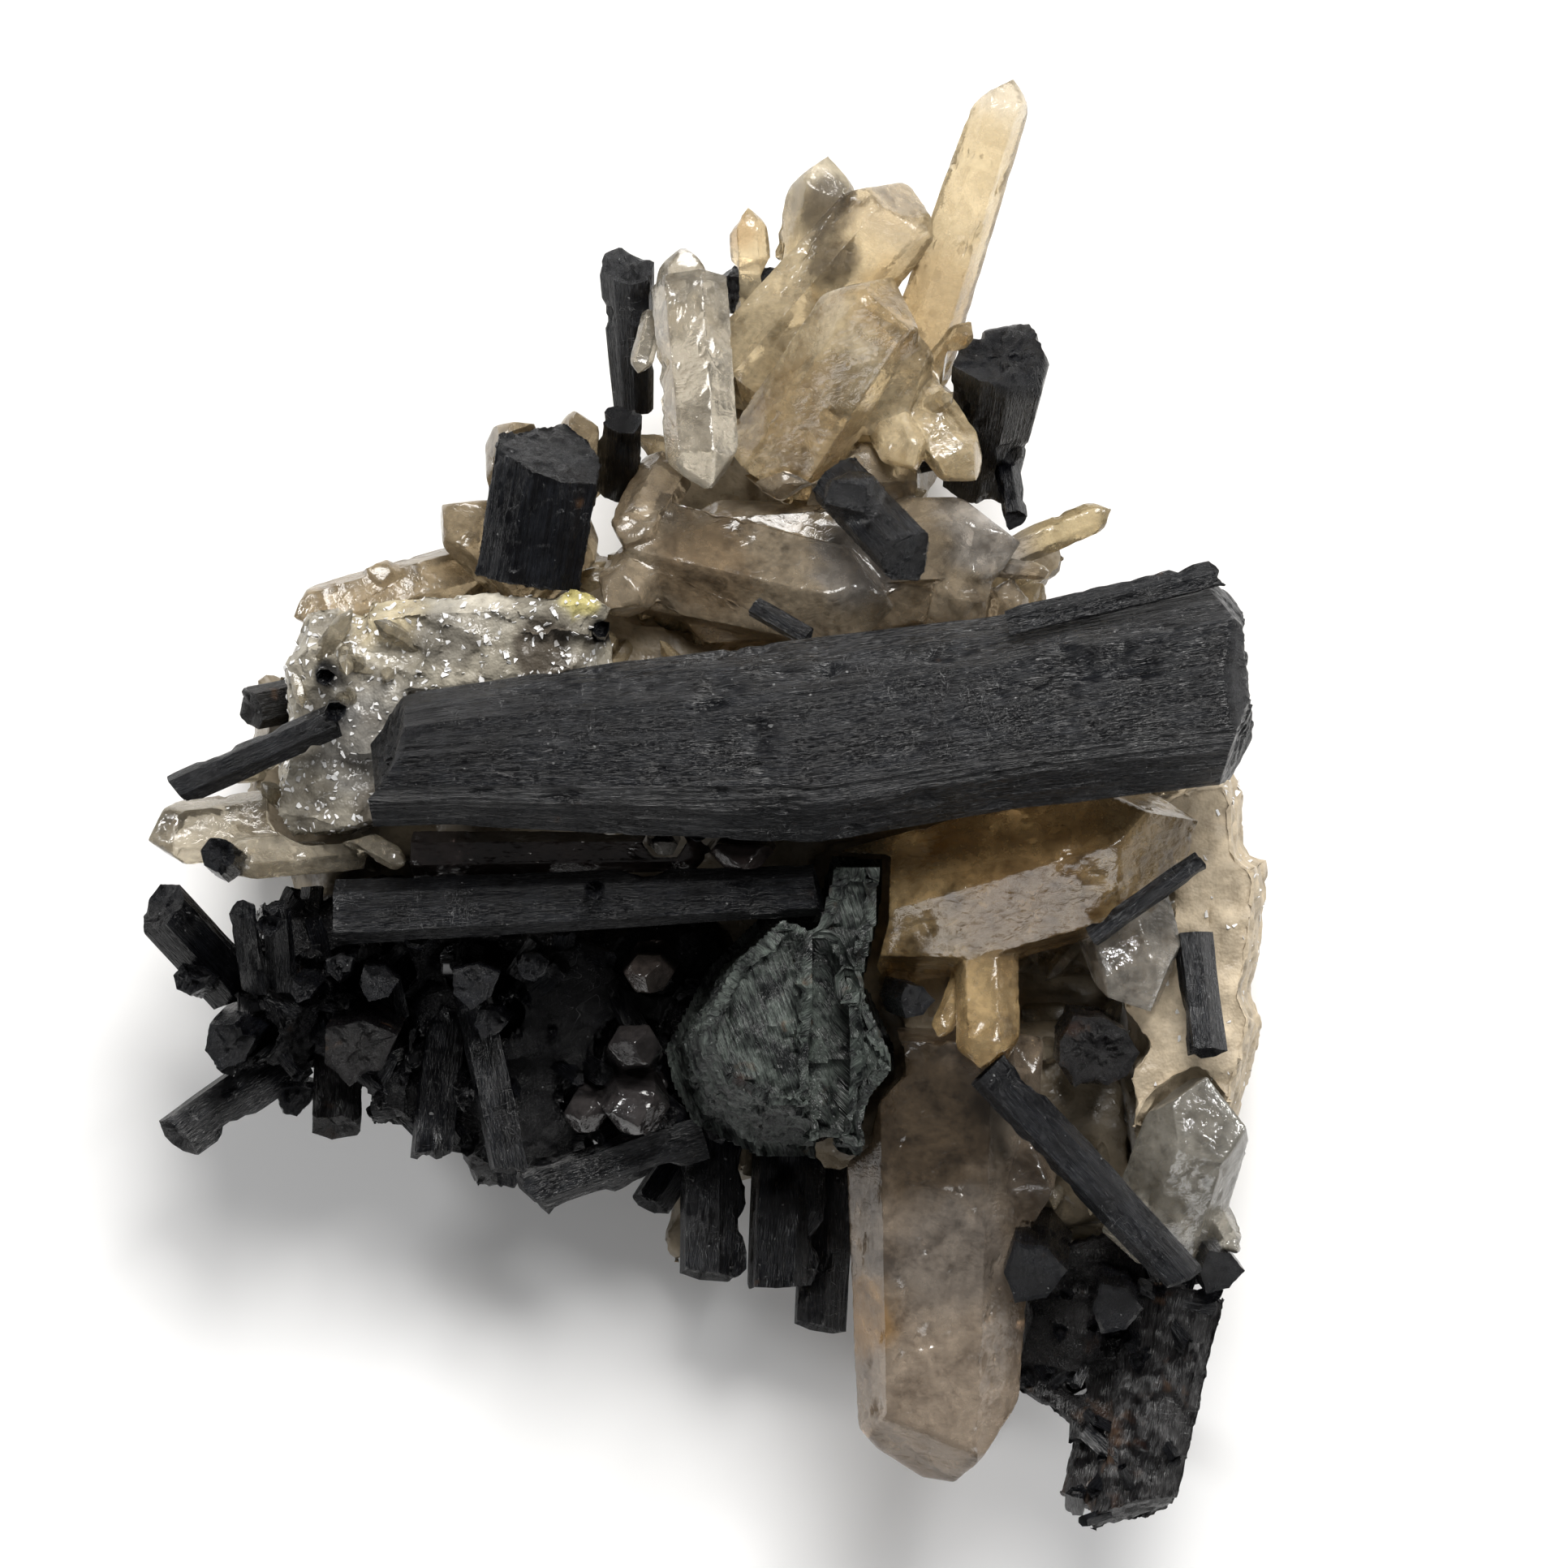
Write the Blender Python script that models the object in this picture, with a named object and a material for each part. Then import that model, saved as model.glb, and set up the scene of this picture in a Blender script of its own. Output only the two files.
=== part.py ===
"""Black schorl crystals grown on a cluster of smoky quartz, lying on its broken underside.

The crystals' best side faces up (+Z), +Y is the end with the spray of quartz points, and
every place and size below is in millimetres, turned into metres by MM.
"""

import math
import random

import bmesh
import bpy
from mathutils import Matrix, Vector

MM = 0.001
GAP = 0.3 * MM
CUTTER_REACH = 3.0
NUDGES = ((0, 0, 0), (0.02, 0.01, -0.015), (-0.015, 0.02, 0.01), (0.01, -0.03, 0.02))

# Driving dimensions, in millimetres

LARGE_LENGTH = 64.2
LARGE_WIDTH = 16.2
LARGE_LEFT_END = (-25.0, 2.9, 34.5)
LARGE_RIGHT_END = (38.8, 9.6, 37.4)
SECOND_WIDTH = 5.4
BLOCK_TOP = 37.0
BLOCK_BASE = 17.0
TALL_QUARTZ_TIP = (22.9, 55.2, 25.0)
LOWER_QUARTZ_WIDTH = 15.4
LOWEST_SCHORL_TIP = (31.4, -53.2, 20.0)

# Angles between a crystal's pointed faces and its long axis, as the minerals grow

QUARTZ_POINT = math.radians(52)
SCHORL_POINT = math.radians(27)

QUARTZ_HONEY = ((0.60, 0.47, 0.29), 0.12)
QUARTZ_SMOKY = ((0.36, 0.31, 0.25), 0.15)
QUARTZ_PALE = ((0.66, 0.62, 0.58), 0.14)
QUARTZ_MICA = ((0.55, 0.54, 0.50), 0.45)
MATRIX_STONE = ((0.44, 0.38, 0.30), 0.50)
EDGE_STONE = ((0.62, 0.50, 0.38), 0.60)
SCHORL_BLACK = ((0.020, 0.021, 0.025), 0.28)
SCHORL_GREY = ((0.075, 0.088, 0.090), 0.50)

placed = []


def clear_scene():
    for old in list(bpy.data.objects):
        bpy.data.objects.remove(old, do_unlink=True)


def vec(point):
    return Vector(point) * MM


def seeded(*values):
    """A random source that depends on nothing but the piece's own numbers."""
    return random.Random(repr(values))


def close_cut(bm, cut):
    edges = [item for item in cut["geom_cut"] if isinstance(item, bmesh.types.BMEdge)]
    if edges:
        bmesh.ops.contextual_create(bm, geom=edges)


def slice_off(bm, point, normal):
    """Removes what lies beyond a plane and closes the cut with a flat face."""
    whole = list(bm.verts) + list(bm.edges) + list(bm.faces)
    cut = bmesh.ops.bisect_plane(
        bm, geom=whole, plane_co=point, plane_no=normal, clear_outer=True
    )
    close_cut(bm, cut)


def tower(profile, stations):
    """A closed body that runs up +Z: one copy of the profile at each station.

    A station is (height, scale across, scale in depth, shift across).
    """
    bm = bmesh.new()
    rings = []
    for height, across, deep, shift in stations:
        ring = [
            bm.verts.new((x * across + shift, y * deep, height)) for x, y in profile
        ]
        rings.append(ring)
    bm.faces.new(list(reversed(rings[0])))
    for lower, upper in zip(rings, rings[1:]):
        for i in range(len(profile)):
            j = (i + 1) % len(profile)
            bm.faces.new((lower[i], lower[j], upper[j], upper[i]))
    bm.faces.new(rings[-1])
    return bm


def six_sided(width, depth, rng):
    """The cross-section of a quartz crystal: six sides that are never quite equal."""
    points = []
    for i in range(6):
        angle = math.tau * i / 6 + rng.uniform(-0.09, 0.09)
        points.append((0.5 * width * math.cos(angle), 0.5 * depth * math.sin(angle)))
    return points


def three_cornered(width, depth, rng, sides=9):
    """The cross-section of schorl: a triangle with rounded sides, in narrow flat faces."""
    points = []
    for i in range(sides):
        angle = math.tau * i / sides
        swell = 1.0 + 0.09 * math.cos(3 * angle) + rng.uniform(-0.03, 0.03)
        x = 0.5 * width * swell * math.cos(angle)
        points.append((x, 0.5 * depth * swell * math.sin(angle)))
    return points


def stand(bm, foot, tip, roll):
    """Turns a body that runs up +Z so that it runs from foot to tip.

    With no roll, its X side lies across the view from above and its Y side faces up.
    """
    foot, tip = vec(foot), vec(tip)
    along = (tip - foot).normalized()
    up = Vector((0, 0, 1))
    if abs(along.z) > 0.95:
        up = Vector((0, 1, 0))
    across = along.cross(up).normalized()
    facing = across.cross(along).normalized()
    turn = Matrix((-across, facing, along)).transposed().to_4x4()
    turned = Matrix.Translation(foot) @ turn @ Matrix.Rotation(math.radians(roll), 4, "Z")
    bmesh.ops.transform(bm, matrix=turned, verts=list(bm.verts))
    bmesh.ops.recalc_face_normals(bm, faces=list(bm.faces))
    return bm


def point_faces(bm, length, width, slope, count, rng, uneven=0.22):
    """Cuts the end of a crystal to a point, with faces of uneven size."""
    start = rng.uniform(0, 0.3)
    for i in range(count):
        angle = math.tau * (i + 0.5) / count + start
        normal = Vector((math.cos(angle), math.sin(angle), 0)) * math.sin(slope)
        normal.z = math.cos(slope)
        drop = width * uneven * (rng.uniform(0.5, 1.0) if i % 2 else rng.uniform(0, 0.3))
        slice_off(bm, Vector((0, 0, length - drop)), normal)


def quartz(foot, tip, width, depth=None, roll=0.0, taper=0.86, blunt=0.0, uneven=0.22, cuts=()):
    """One six-sided quartz crystal with a pointed tip, which blunt chips off flat.

    A cut is a further flat face: a point in place and the direction that it faces.
    """
    rng = seeded("quartz", foot, tip, width)
    depth = depth or 0.85 * width
    length = (vec(tip) - vec(foot)).length
    profile = six_sided(width * MM, depth * MM, rng)
    past = length + 0.4 * width * MM
    bm = tower(profile, [(0, 1, 1, 0), (past, taper, taper, 0)])
    reach = length + 0.5 * blunt * width * MM
    point_faces(bm, reach, width * MM, QUARTZ_POINT, 6, rng, uneven)
    if blunt:
        chip = Vector((rng.uniform(-0.5, 0.5), rng.uniform(-0.5, 0.5), 1)).normalized()
        slice_off(bm, Vector((0, 0, length)), chip)
    stand(bm, foot, tip, roll)
    for point, facing in cuts:
        slice_off(bm, vec(point), Vector(facing).normalized())
    return bm


def schorl(foot, tip, width, depth=None, roll=0.0, taper=1.0, tilt=(0.0, 0.0), sides=9, chips=2,
           end="flat"):
    """One striated schorl prism, whose far end is flat, broken askew or a low point."""
    rng = seeded("schorl", foot, tip, width)
    depth = depth or 0.9 * width
    length = (vec(tip) - vec(foot)).length
    profile = three_cornered(width * MM, depth * MM, rng, sides)
    past = length + 0.5 * width * MM
    bm = tower(profile, [(0, 1, 1, 0), (past, taper, taper, 0)])
    if end == "point":
        point_faces(bm, length, width * MM, SCHORL_POINT, 3, rng, 0.1)
    else:
        slope = Vector((math.tan(math.radians(tilt[0])), math.tan(math.radians(tilt[1])), 1))
        slice_off(bm, Vector((0, 0, length)), slope.normalized())
    for _ in range(chips):
        angle = rng.uniform(0, math.tau)
        edge = Vector((math.cos(angle), math.sin(angle), rng.uniform(0.7, 1.3))).normalized()
        corner = Vector((math.cos(angle) * width, math.sin(angle) * depth, 0)) * 0.42 * MM
        corner.z = length - 0.02 * width * MM
        slice_off(bm, corner, edge)
    return stand(bm, foot, tip, roll)


def lump(centre, size, points=18, square=0.6):
    """A broken lump with flat sides: the hull of seeded points round an ellipsoid."""
    rng = seeded("lump", centre, size)
    bm = bmesh.new()
    golden = math.pi * (3 - math.sqrt(5))
    for i in range(points):
        height = 1 - 2 * (i + 0.5) / points
        angle = golden * i + rng.uniform(-0.3, 0.3)
        flat = math.sqrt(1 - height * height)
        spot = Vector((flat * math.cos(angle), flat * math.sin(angle), height))
        spot = Vector([math.copysign(abs(c) ** square, c) for c in spot])
        spot *= rng.uniform(0.82, 1.0)
        place = Vector(centre) + Vector([c * s for c, s in zip(spot, size)])
        bm.verts.new(place * MM)
    hull = bmesh.ops.convex_hull(bm, input=list(bm.verts))
    spare = {item for item in hull["geom_interior"] + hull["geom_unused"]}
    inside = [item for item in spare if isinstance(item, bmesh.types.BMVert)]
    bmesh.ops.delete(bm, geom=inside, context="VERTS")
    bmesh.ops.dissolve_limit(
        bm, angle_limit=math.radians(4), verts=list(bm.verts), edges=list(bm.edges)
    )
    bmesh.ops.recalc_face_normals(bm, faces=list(bm.faces))
    return bm


def slab(outline, low, high, shrink=0.85, lean=(0.0, 0.0)):
    """An upright block on an outline, narrower at its top, which lean shifts sideways."""
    bm = bmesh.new()
    centre = sum((Vector((*p, 0)) for p in outline), Vector()) / len(outline)
    base = [bm.verts.new(vec((*p, low))) for p in outline]
    top = []
    for p in outline:
        drawn = centre + (Vector((*p, 0)) - centre) * shrink
        top.append(bm.verts.new(vec((drawn.x + lean[0], drawn.y + lean[1], high))))
    bm.faces.new(base)
    bm.faces.new(list(reversed(top)))
    for i in range(len(outline)):
        j = (i + 1) % len(outline)
        bm.faces.new((base[j], base[i], top[i], top[j]))
    bmesh.ops.recalc_face_normals(bm, faces=list(bm.faces))
    return bm


def mesh_of(name, bm):
    bmesh.ops.triangulate(bm, faces=[f for f in bm.faces if len(f.verts) > 4])
    mesh = bpy.data.meshes.new(name)
    bm.to_mesh(mesh)
    return mesh


def object_of(name, mesh):
    made = bpy.data.objects.new(name, mesh)
    bpy.context.scene.collection.objects.link(made)
    return made


def combined(mesh, other, operation):
    """The mesh after one Boolean with another."""
    target = object_of("target", mesh)
    tool = object_of("tool", other)
    step = target.modifiers.new("join", "BOOLEAN")
    step.operation = operation
    step.solver = "EXACT"
    step.object = tool
    graph = bpy.context.evaluated_depsgraph_get()
    result = bpy.data.meshes.new_from_object(target.evaluated_get(graph))
    bpy.data.objects.remove(target)
    bpy.data.objects.remove(tool)
    return result


def fattened(bm):
    """A copy of a piece that is larger by the gap on every side, to cut its neighbours."""
    grown = bm.copy()
    grown.normal_update()
    moves = [v.normal * GAP * min(v.calc_shell_factor(), CUTTER_REACH) for v in grown.verts]
    for v, move in zip(grown.verts, moves):
        v.co += move
    return mesh_of("cutter", grown)


def limits(mesh):
    xs, ys, zs = zip(*(v.co for v in mesh.vertices))
    return (min(xs), min(ys), min(zs)), (max(xs), max(ys), max(zs))


def apart(box, other):
    (low, high), (other_low, other_high) = box, other
    return any(high[i] < other_low[i] or other_high[i] < low[i] for i in range(3))


def volume_of(faces):
    total = 0.0
    for face in faces:
        corners = [v.co for v in face.verts]
        for a, b in zip(corners[1:], corners[2:]):
            total += corners[0].dot(a.cross(b)) / 6
    return total


def mesh_volume(mesh):
    bm = bmesh.new()
    bm.from_mesh(mesh)
    total = volume_of(bm.faces)
    bm.free()
    return total


def cut_back(mesh, cutter):
    """The mesh less the cutter, which can take away no more than its own volume.

    Where faces nearly coincide a cut can fail, so it is made again with the cutter nudged.
    """
    least = mesh_volume(mesh) - 1.01 * mesh_volume(cutter)
    for nudge in NUDGES:
        moved = cutter.copy()
        moved.transform(Matrix.Translation(vec(nudge)))
        result = combined(mesh, moved, "DIFFERENCE")
        if mesh_volume(result) >= least:
            return result
    raise ValueError(f"{mesh.name}: a cut at {limits(cutter)} removed too much")


def largest_body(mesh):
    """Leaves the main body of a mesh and drops the crumbs that its cuts left."""
    bm = bmesh.new()
    bm.from_mesh(mesh)
    left = set(bm.faces)
    bodies = []
    while left:
        body, waiting = set(), [left.pop()]
        while waiting:
            face = waiting.pop()
            body.add(face)
            for edge in face.edges:
                for near in edge.link_faces:
                    if near in left:
                        left.remove(near)
                        waiting.append(near)
        bodies.append(body)
    bodies.sort(key=volume_of)
    crumbs = [face for body in bodies[:-1] for face in body]
    bmesh.ops.delete(bm, geom=crumbs, context="FACES")
    loose = [v for v in bm.verts if not v.link_faces]
    bmesh.ops.delete(bm, geom=loose, context="VERTS")
    bm.to_mesh(mesh)
    bm.free()
    return mesh


def finish_of(name, look):
    """The node's own material."""
    (colour, roughness) = look
    material = bpy.data.materials.new(name)
    material.use_nodes = True
    shader = material.node_tree.nodes["Principled BSDF"]
    shader.inputs["Base Color"].default_value = (*colour, 1)
    shader.inputs["Roughness"].default_value = roughness
    shader.inputs["Metallic"].default_value = 0.0
    return material


def node(name, look, *pieces):
    """Joins pieces into one solid and cuts it back from everything placed before it."""
    mesh = mesh_of(name, pieces[0])
    for piece in pieces[1:]:
        mesh = combined(mesh, mesh_of(name, piece), "UNION")
    for cutter, box in placed:
        if not apart(limits(mesh), box):
            mesh = cut_back(mesh, cutter)
    mesh = largest_body(mesh)
    for piece in pieces:
        cutter = fattened(piece)
        placed.append((cutter, limits(cutter)))
    mesh.name = name
    made = object_of(name, mesh)
    mesh.materials.clear()
    mesh.materials.append(finish_of(name, look))
    return made


# The large schorl crystal, which lies across the middle

LARGE_PROFILE = (
    (8.2, -1.0), (6.8, 2.4), (4.6, 4.6), (4.3, 5.4), (0.5, 6.3), (-3.4, 6.2),
    (-5.3, 5.0), (-8.0, 1.2), (-7.6, -3.4), (-4.0, -6.6), (1.0, -7.4), (5.8, -5.4),
)
LARGE_PROFILE_WIDTH = 16.2
LARGE_STATIONS = (
    (0.00, 0.60, 0.72, 0.2), (0.10, 0.66, 0.80, 0.0), (0.32, 0.84, 0.92, -0.9),
    (0.51, 0.96, 1.00, -1.7), (0.73, 0.92, 1.00, -1.1), (1.00, 1.02, 1.00, -0.2),
)


# The faces of its broken right end: a point (up, towards the viewer, short of the end) and
# the direction that it faces

LARGE_END_CUTS = (
    ((7.7, 0.0, 1.6), (0.62, 0.10, 0.78)),
    ((-5.5, 0.0, 0.2), (-0.50, 0.10, 0.86)),
    ((0.0, 6.0, 0.4), (0.00, 0.75, 0.66)),
    ((0.0, -6.0, 1.3), (0.10, -0.80, 0.60)),
)

# The slanted break of its left end: a point in place and the direction that it faces

LARGE_LEFT_CUTS = (
    ((-21.7, 8.2, 38.0), (-0.93, 0.31, 0.20)),
    ((-21.7, 8.2, 38.0), (-0.50, 0.60, 0.62)),
)


def large_schorl():
    width = LARGE_WIDTH / LARGE_PROFILE_WIDTH
    profile = [(x * width * MM, y * width * MM) for x, y in LARGE_PROFILE]
    length = LARGE_LENGTH * MM
    stations = [(t * length, a, d, s * MM) for t, a, d, s in LARGE_STATIONS]
    bm = tower(profile, stations)
    bmesh.ops.triangulate(bm, faces=list(bm.faces))
    for (up, forward, short), facing in LARGE_END_CUTS:
        point = Vector((up * MM, forward * MM, length - short * MM))
        slice_off(bm, point, Vector(facing).normalized())
    stand(bm, LARGE_LEFT_END, LARGE_RIGHT_END, 0)
    for point, facing in LARGE_LEFT_CUTS:
        slice_off(bm, vec(point), Vector(facing).normalized())
    return bm


def splinter():
    """The splinter that lifts from the large crystal's upper edge."""
    return schorl((22.0, 13.3, 40.6), (37.5, 16.9, 41.2), 2.6, 1.8, roll=20, sides=6, tilt=(20, 10))


clear_scene()

node("large_schorl", SCHORL_BLACK, large_schorl(), splinter())

# The grey fibrous block in the middle, parted by a trench

BLOCK_LEFT = (
    (5.0, -6.6), (-0.3, -11.8), (-3.7, -18.2), (-3.0, -21.2),
    (-1.4, -24.2), (3.4, -26.6), (8.4, -26.8), (8.6, -8.0),
)
BLOCK_UPPER = ((8.9, -3.4), (13.4, -3.6), (13.2, -8.3), (11.9, -13.6), (9.6, -13.6), (7.4, -8.6))
BLOCK_LOWER = (
    (9.7, -12.0), (12.0, -13.0), (14.3, -18.0), (14.3, -19.9),
    (12.4, -22.0), (11.5, -25.5), (9.7, -26.7),
)
BLOCK_TRENCH = ((7.0, -8.0), (11.5, -7.6), (11.8, -25.0), (7.0, -25.6))

node(
    "grey_schorl_block", SCHORL_GREY,
    slab(BLOCK_TRENCH, BLOCK_BASE, BLOCK_TOP - 5.0, 0.96),
    slab(BLOCK_LEFT, BLOCK_BASE, BLOCK_TOP, 0.72, lean=(1.2, 1.8)),
    slab(BLOCK_UPPER, BLOCK_BASE, BLOCK_TOP - 2.5, 0.86),
    slab(BLOCK_LOWER, BLOCK_BASE, BLOCK_TOP - 0.5, 0.84),
)

# Schorl that stands in front of the quartz

node("second_schorl", SCHORL_BLACK,
     schorl((-27.5, -8.2, 26.0), (8.2, -6.5, 31.0), SECOND_WIDTH, 5.0, taper=0.74, tilt=(8, 0)))
node("middle_schorl", SCHORL_BLACK,
     schorl((9.4, 24.0, 29.0), (14.9, 18.0, 35.5), 5.0, 4.4, roll=18, tilt=(0, 14), end="flat"),
     lump((10.6, 23.0, 33.0), (2.8, 2.3, 2.6), 14))
node("upper_left_schorl", SCHORL_BLACK,
     schorl((-13.3, 16.6, 26.0), (-11.6, 26.6, 28.0), 9.0, 8.6, roll=30, tilt=(0, 22)))
node("diagonal_schorl", SCHORL_BLACK,
     schorl((20.6, -19.6, 30.5), (35.2, -35.2, 29.0), 4.0, 3.2, taper=0.92, tilt=(-18, 10)))
node("thin_left_schorl", SCHORL_BLACK,
     schorl((-27.6, 6.4, 29.0), (-39.4, 1.2, 27.5), 2.9, 2.4, sides=6, tilt=(12, 0)))
node("side_rod_schorl", SCHORL_BLACK,
     schorl((28.4, -9.8, 31.2), (36.4, -4.1, 33.4), 1.8, 1.5, sides=6))
node("round_end_schorl", SCHORL_BLACK,
     schorl((28.4, -17.6, 20.0), (28.7, -18.3, 33.0), 6.7, 6.2, tilt=(8, -10)))
node("shiny_end_schorl", SCHORL_BLACK,
     schorl((13.9, -14.0, 22.0), (15.4, -14.4, 35.0), 3.0, 3.2, sides=6, end="point"))
node("top_left_schorl", SCHORL_BLACK,
     schorl((-5.5, 29.6, 17.0), (-5.9, 40.6, 22.0), 3.2, 3.2, roll=12, taper=1.55, tilt=(8, 30)))
node("top_right_schorl", SCHORL_BLACK,
     schorl((20.5, 24.4, 14.0), (22.0, 33.6, 25.5), 6.2, 6.0, roll=25, taper=1.42, tilt=(6, -8)))
node("right_small_schorl", SCHORL_BLACK,
     schorl((22.2, 25.0, 18.0), (22.8, 21.2, 22.5), 2.2, sides=6, tilt=(10, 10)))
node("top_rough_schorl", SCHORL_BLACK, lump((3.3, 38.4, 18.6), (3.4, 2.6, 3.0), 16))
node("tiny_red_schorl", SCHORL_BLACK,
     schorl((3.4, 14.6, 29.5), (7.4, 12.3, 31.5), 1.7, 1.4, sides=6))

# Quartz under and round the large crystal

node("small_clear_quartz", QUARTZ_PALE,
     quartz((-3.2, -2.4, 24.0), (-3.2, -3.0, 33.6), 2.6, blunt=0.7))
node("trapezoid_quartz", QUARTZ_SMOKY,
     quartz((2.4, -3.0, 25.0), (2.6, -3.4, 34.4), 5.6, 3.6, blunt=0.9),
     quartz((-22.0, -3.6, 25.0), (1.0, -3.4, 28.0), 3.6, 3.6))
node("front_quartz", QUARTZ_HONEY,
     quartz((-1.4, 38.9, 26.0), (-0.1, 22.0, 33.0), 6.2, 5.2, roll=12, taper=0.92),
     quartz((-2.6, 32.0, 25.0), (-3.6, 24.4, 29.5), 2.4),
     quartz((-4.0, 36.5, 23.5), (-5.3, 31.5, 27.0), 2.2),
     quartz((-2.4, 34.0, 21.5), (-1.6, 41.4, 24.5), 4.4, 3.8, blunt=0.6))

node("top_quartz_spray", QUARTZ_HONEY,
     lump((9.0, 32.0, 19.5), (8.6, 6.4, 5.6), 14),
     quartz((11.5, 29.0, 23.5), (15.2, 39.9, 31.0), 8.8, 7.0, roll=20, uneven=0.5),
     quartz((4.6, 24.6, 24.0), (13.5, 38.0, 30.2), 8.8, 6.6, roll=8, taper=0.95, blunt=0.8),
     quartz((3.0, 31.6, 20.0), (14.7, 45.0, 24.0), 9.0, 6.6, roll=14, taper=0.84, blunt=0.85),
     quartz((15.2, 32.2, 19.0), TALL_QUARTZ_TIP, 5.9, 5.0, roll=10, taper=0.7),
     quartz((6.2, 33.0, 17.0), (9.2, 49.6, 21.5), 5.9, 5.2, taper=0.88),
     quartz((3.6, 33.0, 19.0), (2.8, 45.3, 21.5), 3.6, 3.2),
     quartz((13.4, 33.0, 22.0), (20.4, 23.3, 29.0), 5.2, 4.4, roll=15),
     quartz((12.4, 31.0, 22.0), (15.6, 24.2, 29.0), 4.6, 4.0),
     quartz((14.5, 28.6, 23.0), (18.4, 30.5, 29.5), 1.9),
     quartz((15.4, 30.5, 22.0), (19.6, 35.9, 27.0), 2.6, 1.6, blunt=0.4))

node("centre_quartz", QUARTZ_SMOKY,
     lump((8.0, 17.4, 20.5), (14.0, 6.4, 5.6), 16),
     quartz((-5.4, 18.6, 22.0), (16.6, 13.6, 27.5), 9.6, 9.0, roll=24, uneven=0.4),
     quartz((15.0, 24.8, 22.5), (1.6, 24.4, 27.0), 5.4, 5.0, roll=10),
     quartz((8.6, 18.6, 21.0), (25.2, 19.4, 26.5), 8.6, 7.4, roll=6, uneven=0.3),
     quartz((20.6, 18.0, 21.0), (30.2, 22.0, 25.0), 3.0, 2.6, blunt=0.3),
     quartz((20.5, 17.8, 24.0), (25.8, 17.2, 27.0), 1.8),
     quartz((17.6, 9.0, 20.0), (19.5, 19.0, 27.5), 5.6, 4.8, roll=30),
     quartz((21.2, 10.0, 20.0), (22.8, 17.3, 25.5), 3.6, 3.2),
     quartz((25.4, 10.4, 20.0), (25.9, 16.1, 24.0), 2.6),
     quartz((26.8, 10.4, 20.0), (28.7, 15.8, 23.5), 2.2),
     quartz((-2.0, 20.4, 21.0), (-8.2, 13.6, 28.0), 5.6, 5.0, roll=12),
     quartz((-3.0, 25.0, 20.0), (-6.6, 18.4, 27.5), 4.6, 4.2))

node("small_upper_schorl", SCHORL_BLACK,
     schorl((-6.6, 23.4, 19.0), (-6.3, 28.8, 24.5), 3.6, 3.0, tilt=(4, 18)))

node("left_slope_quartz", QUARTZ_HONEY,
     quartz((-11.0, 18.0, 19.0), (-14.8, 28.4, 25.5), 7.4, 6.4, roll=20, blunt=0.5),
     quartz((-9.6, 23.4, 18.0), (-9.8, 29.8, 23.5), 4.0, 3.6),
     quartz((-12.6, 16.0, 18.0), (-19.4, 22.2, 25.0), 5.8, 5.6, blunt=0.5),
     quartz((-17.0, 17.6, 18.0), (-31.8, 13.6, 24.0), 5.0, 4.6, roll=14),
     quartz((-20.0, 14.6, 18.0), (-26.0, 18.0, 23.0), 3.4, 3.2))

node("mica_quartz_ledge", QUARTZ_MICA,
     quartz((-25.0, 13.0, 25.0), (-6.6, 14.4, 30.0), 5.4, 6.0, roll=10, blunt=0.4),
     lump((-14.5, 11.0, 24.5), (9.5, 4.6, 6.2), 18),
     lump((-25.0, 8.6, 22.0), (8.0, 7.0, 7.0), 20),
     lump((-27.6, 1.6, 20.5), (6.0, 5.0, 6.5), 18))

node("left_tip_quartz", QUARTZ_PALE,
     quartz((-28.5, -0.9, 20.0), (-43.5, -2.5, 23.5), 5.6, 5.0, roll=8, uneven=0.4),
     quartz((-26.0, -3.0, 20.0), (-36.8, -4.2, 25.5), 4.2, 3.4, roll=22),
     quartz((-28.0, -1.4, 21.0), (-22.0, -4.6, 26.5), 2.2))
node("far_left_schorl", SCHORL_BLACK,
     schorl((-27.0, 8.8, 15.0), (-34.4, 7.3, 18.0), 3.8, 4.0, tilt=(14, 12)))

# Quartz on the right side

node("right_tan_quartz", QUARTZ_HONEY,
     quartz((11.6, -8.9, 25.0), (40.6, -0.4, 28.6), 12.6, 11.0, roll=24, taper=0.94, uneven=0.4,
            cuts=(((33.4, -6.2, 30.0), (0.56, -0.83, 0.1)), ((24.0, -11.6, 28.0), (0.0, -1.0, 0.3)))),
     quartz((20.6, -7.6, 25.0), (20.8, -21.0, 31.5), 5.2, 4.6, roll=10, taper=0.94),
     quartz((19.4, -12.0, 25.0), (16.8, -17.6, 29.0), 2.2))
node("right_pale_quartz", QUARTZ_PALE,
     quartz((30.0, -5.4, 23.0), (33.6, -17.6, 29.0), 8.2, 6.6, roll=16, uneven=0.4),
     quartz((21.6, -15.4, 24.0), (28.0, -23.6, 28.5), 2.6))
node("right_edge_schorl", SCHORL_BLACK,
     schorl((35.8, -9.6, 26.0), (36.8, -18.4, 27.6), 3.3, 3.0, sides=6, tilt=(0, 10)))
node("lower_right_quartz", QUARTZ_PALE,
     quartz((33.4, -33.0, 20.0), (38.7, -17.0, 28.0), 9.0, 8.0, roll=12, uneven=0.5),
     quartz((37.2, -29.0, 19.0), (39.4, -33.4, 26.0), 2.4))

# The lower quartz crystal, which points down

node("lower_quartz_point", QUARTZ_SMOKY,
     quartz((17.4, -17.0, 24.0), (17.0, -50.4, 20.5), LOWER_QUARTZ_WIDTH, 10.5, roll=6,
            taper=0.72, blunt=0.62, uneven=0.35),
     quartz((20.6, -19.0, 22.0), (24.8, -32.4, 24.0), 6.4, 5.6))

# Schorl at the lower right

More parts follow.
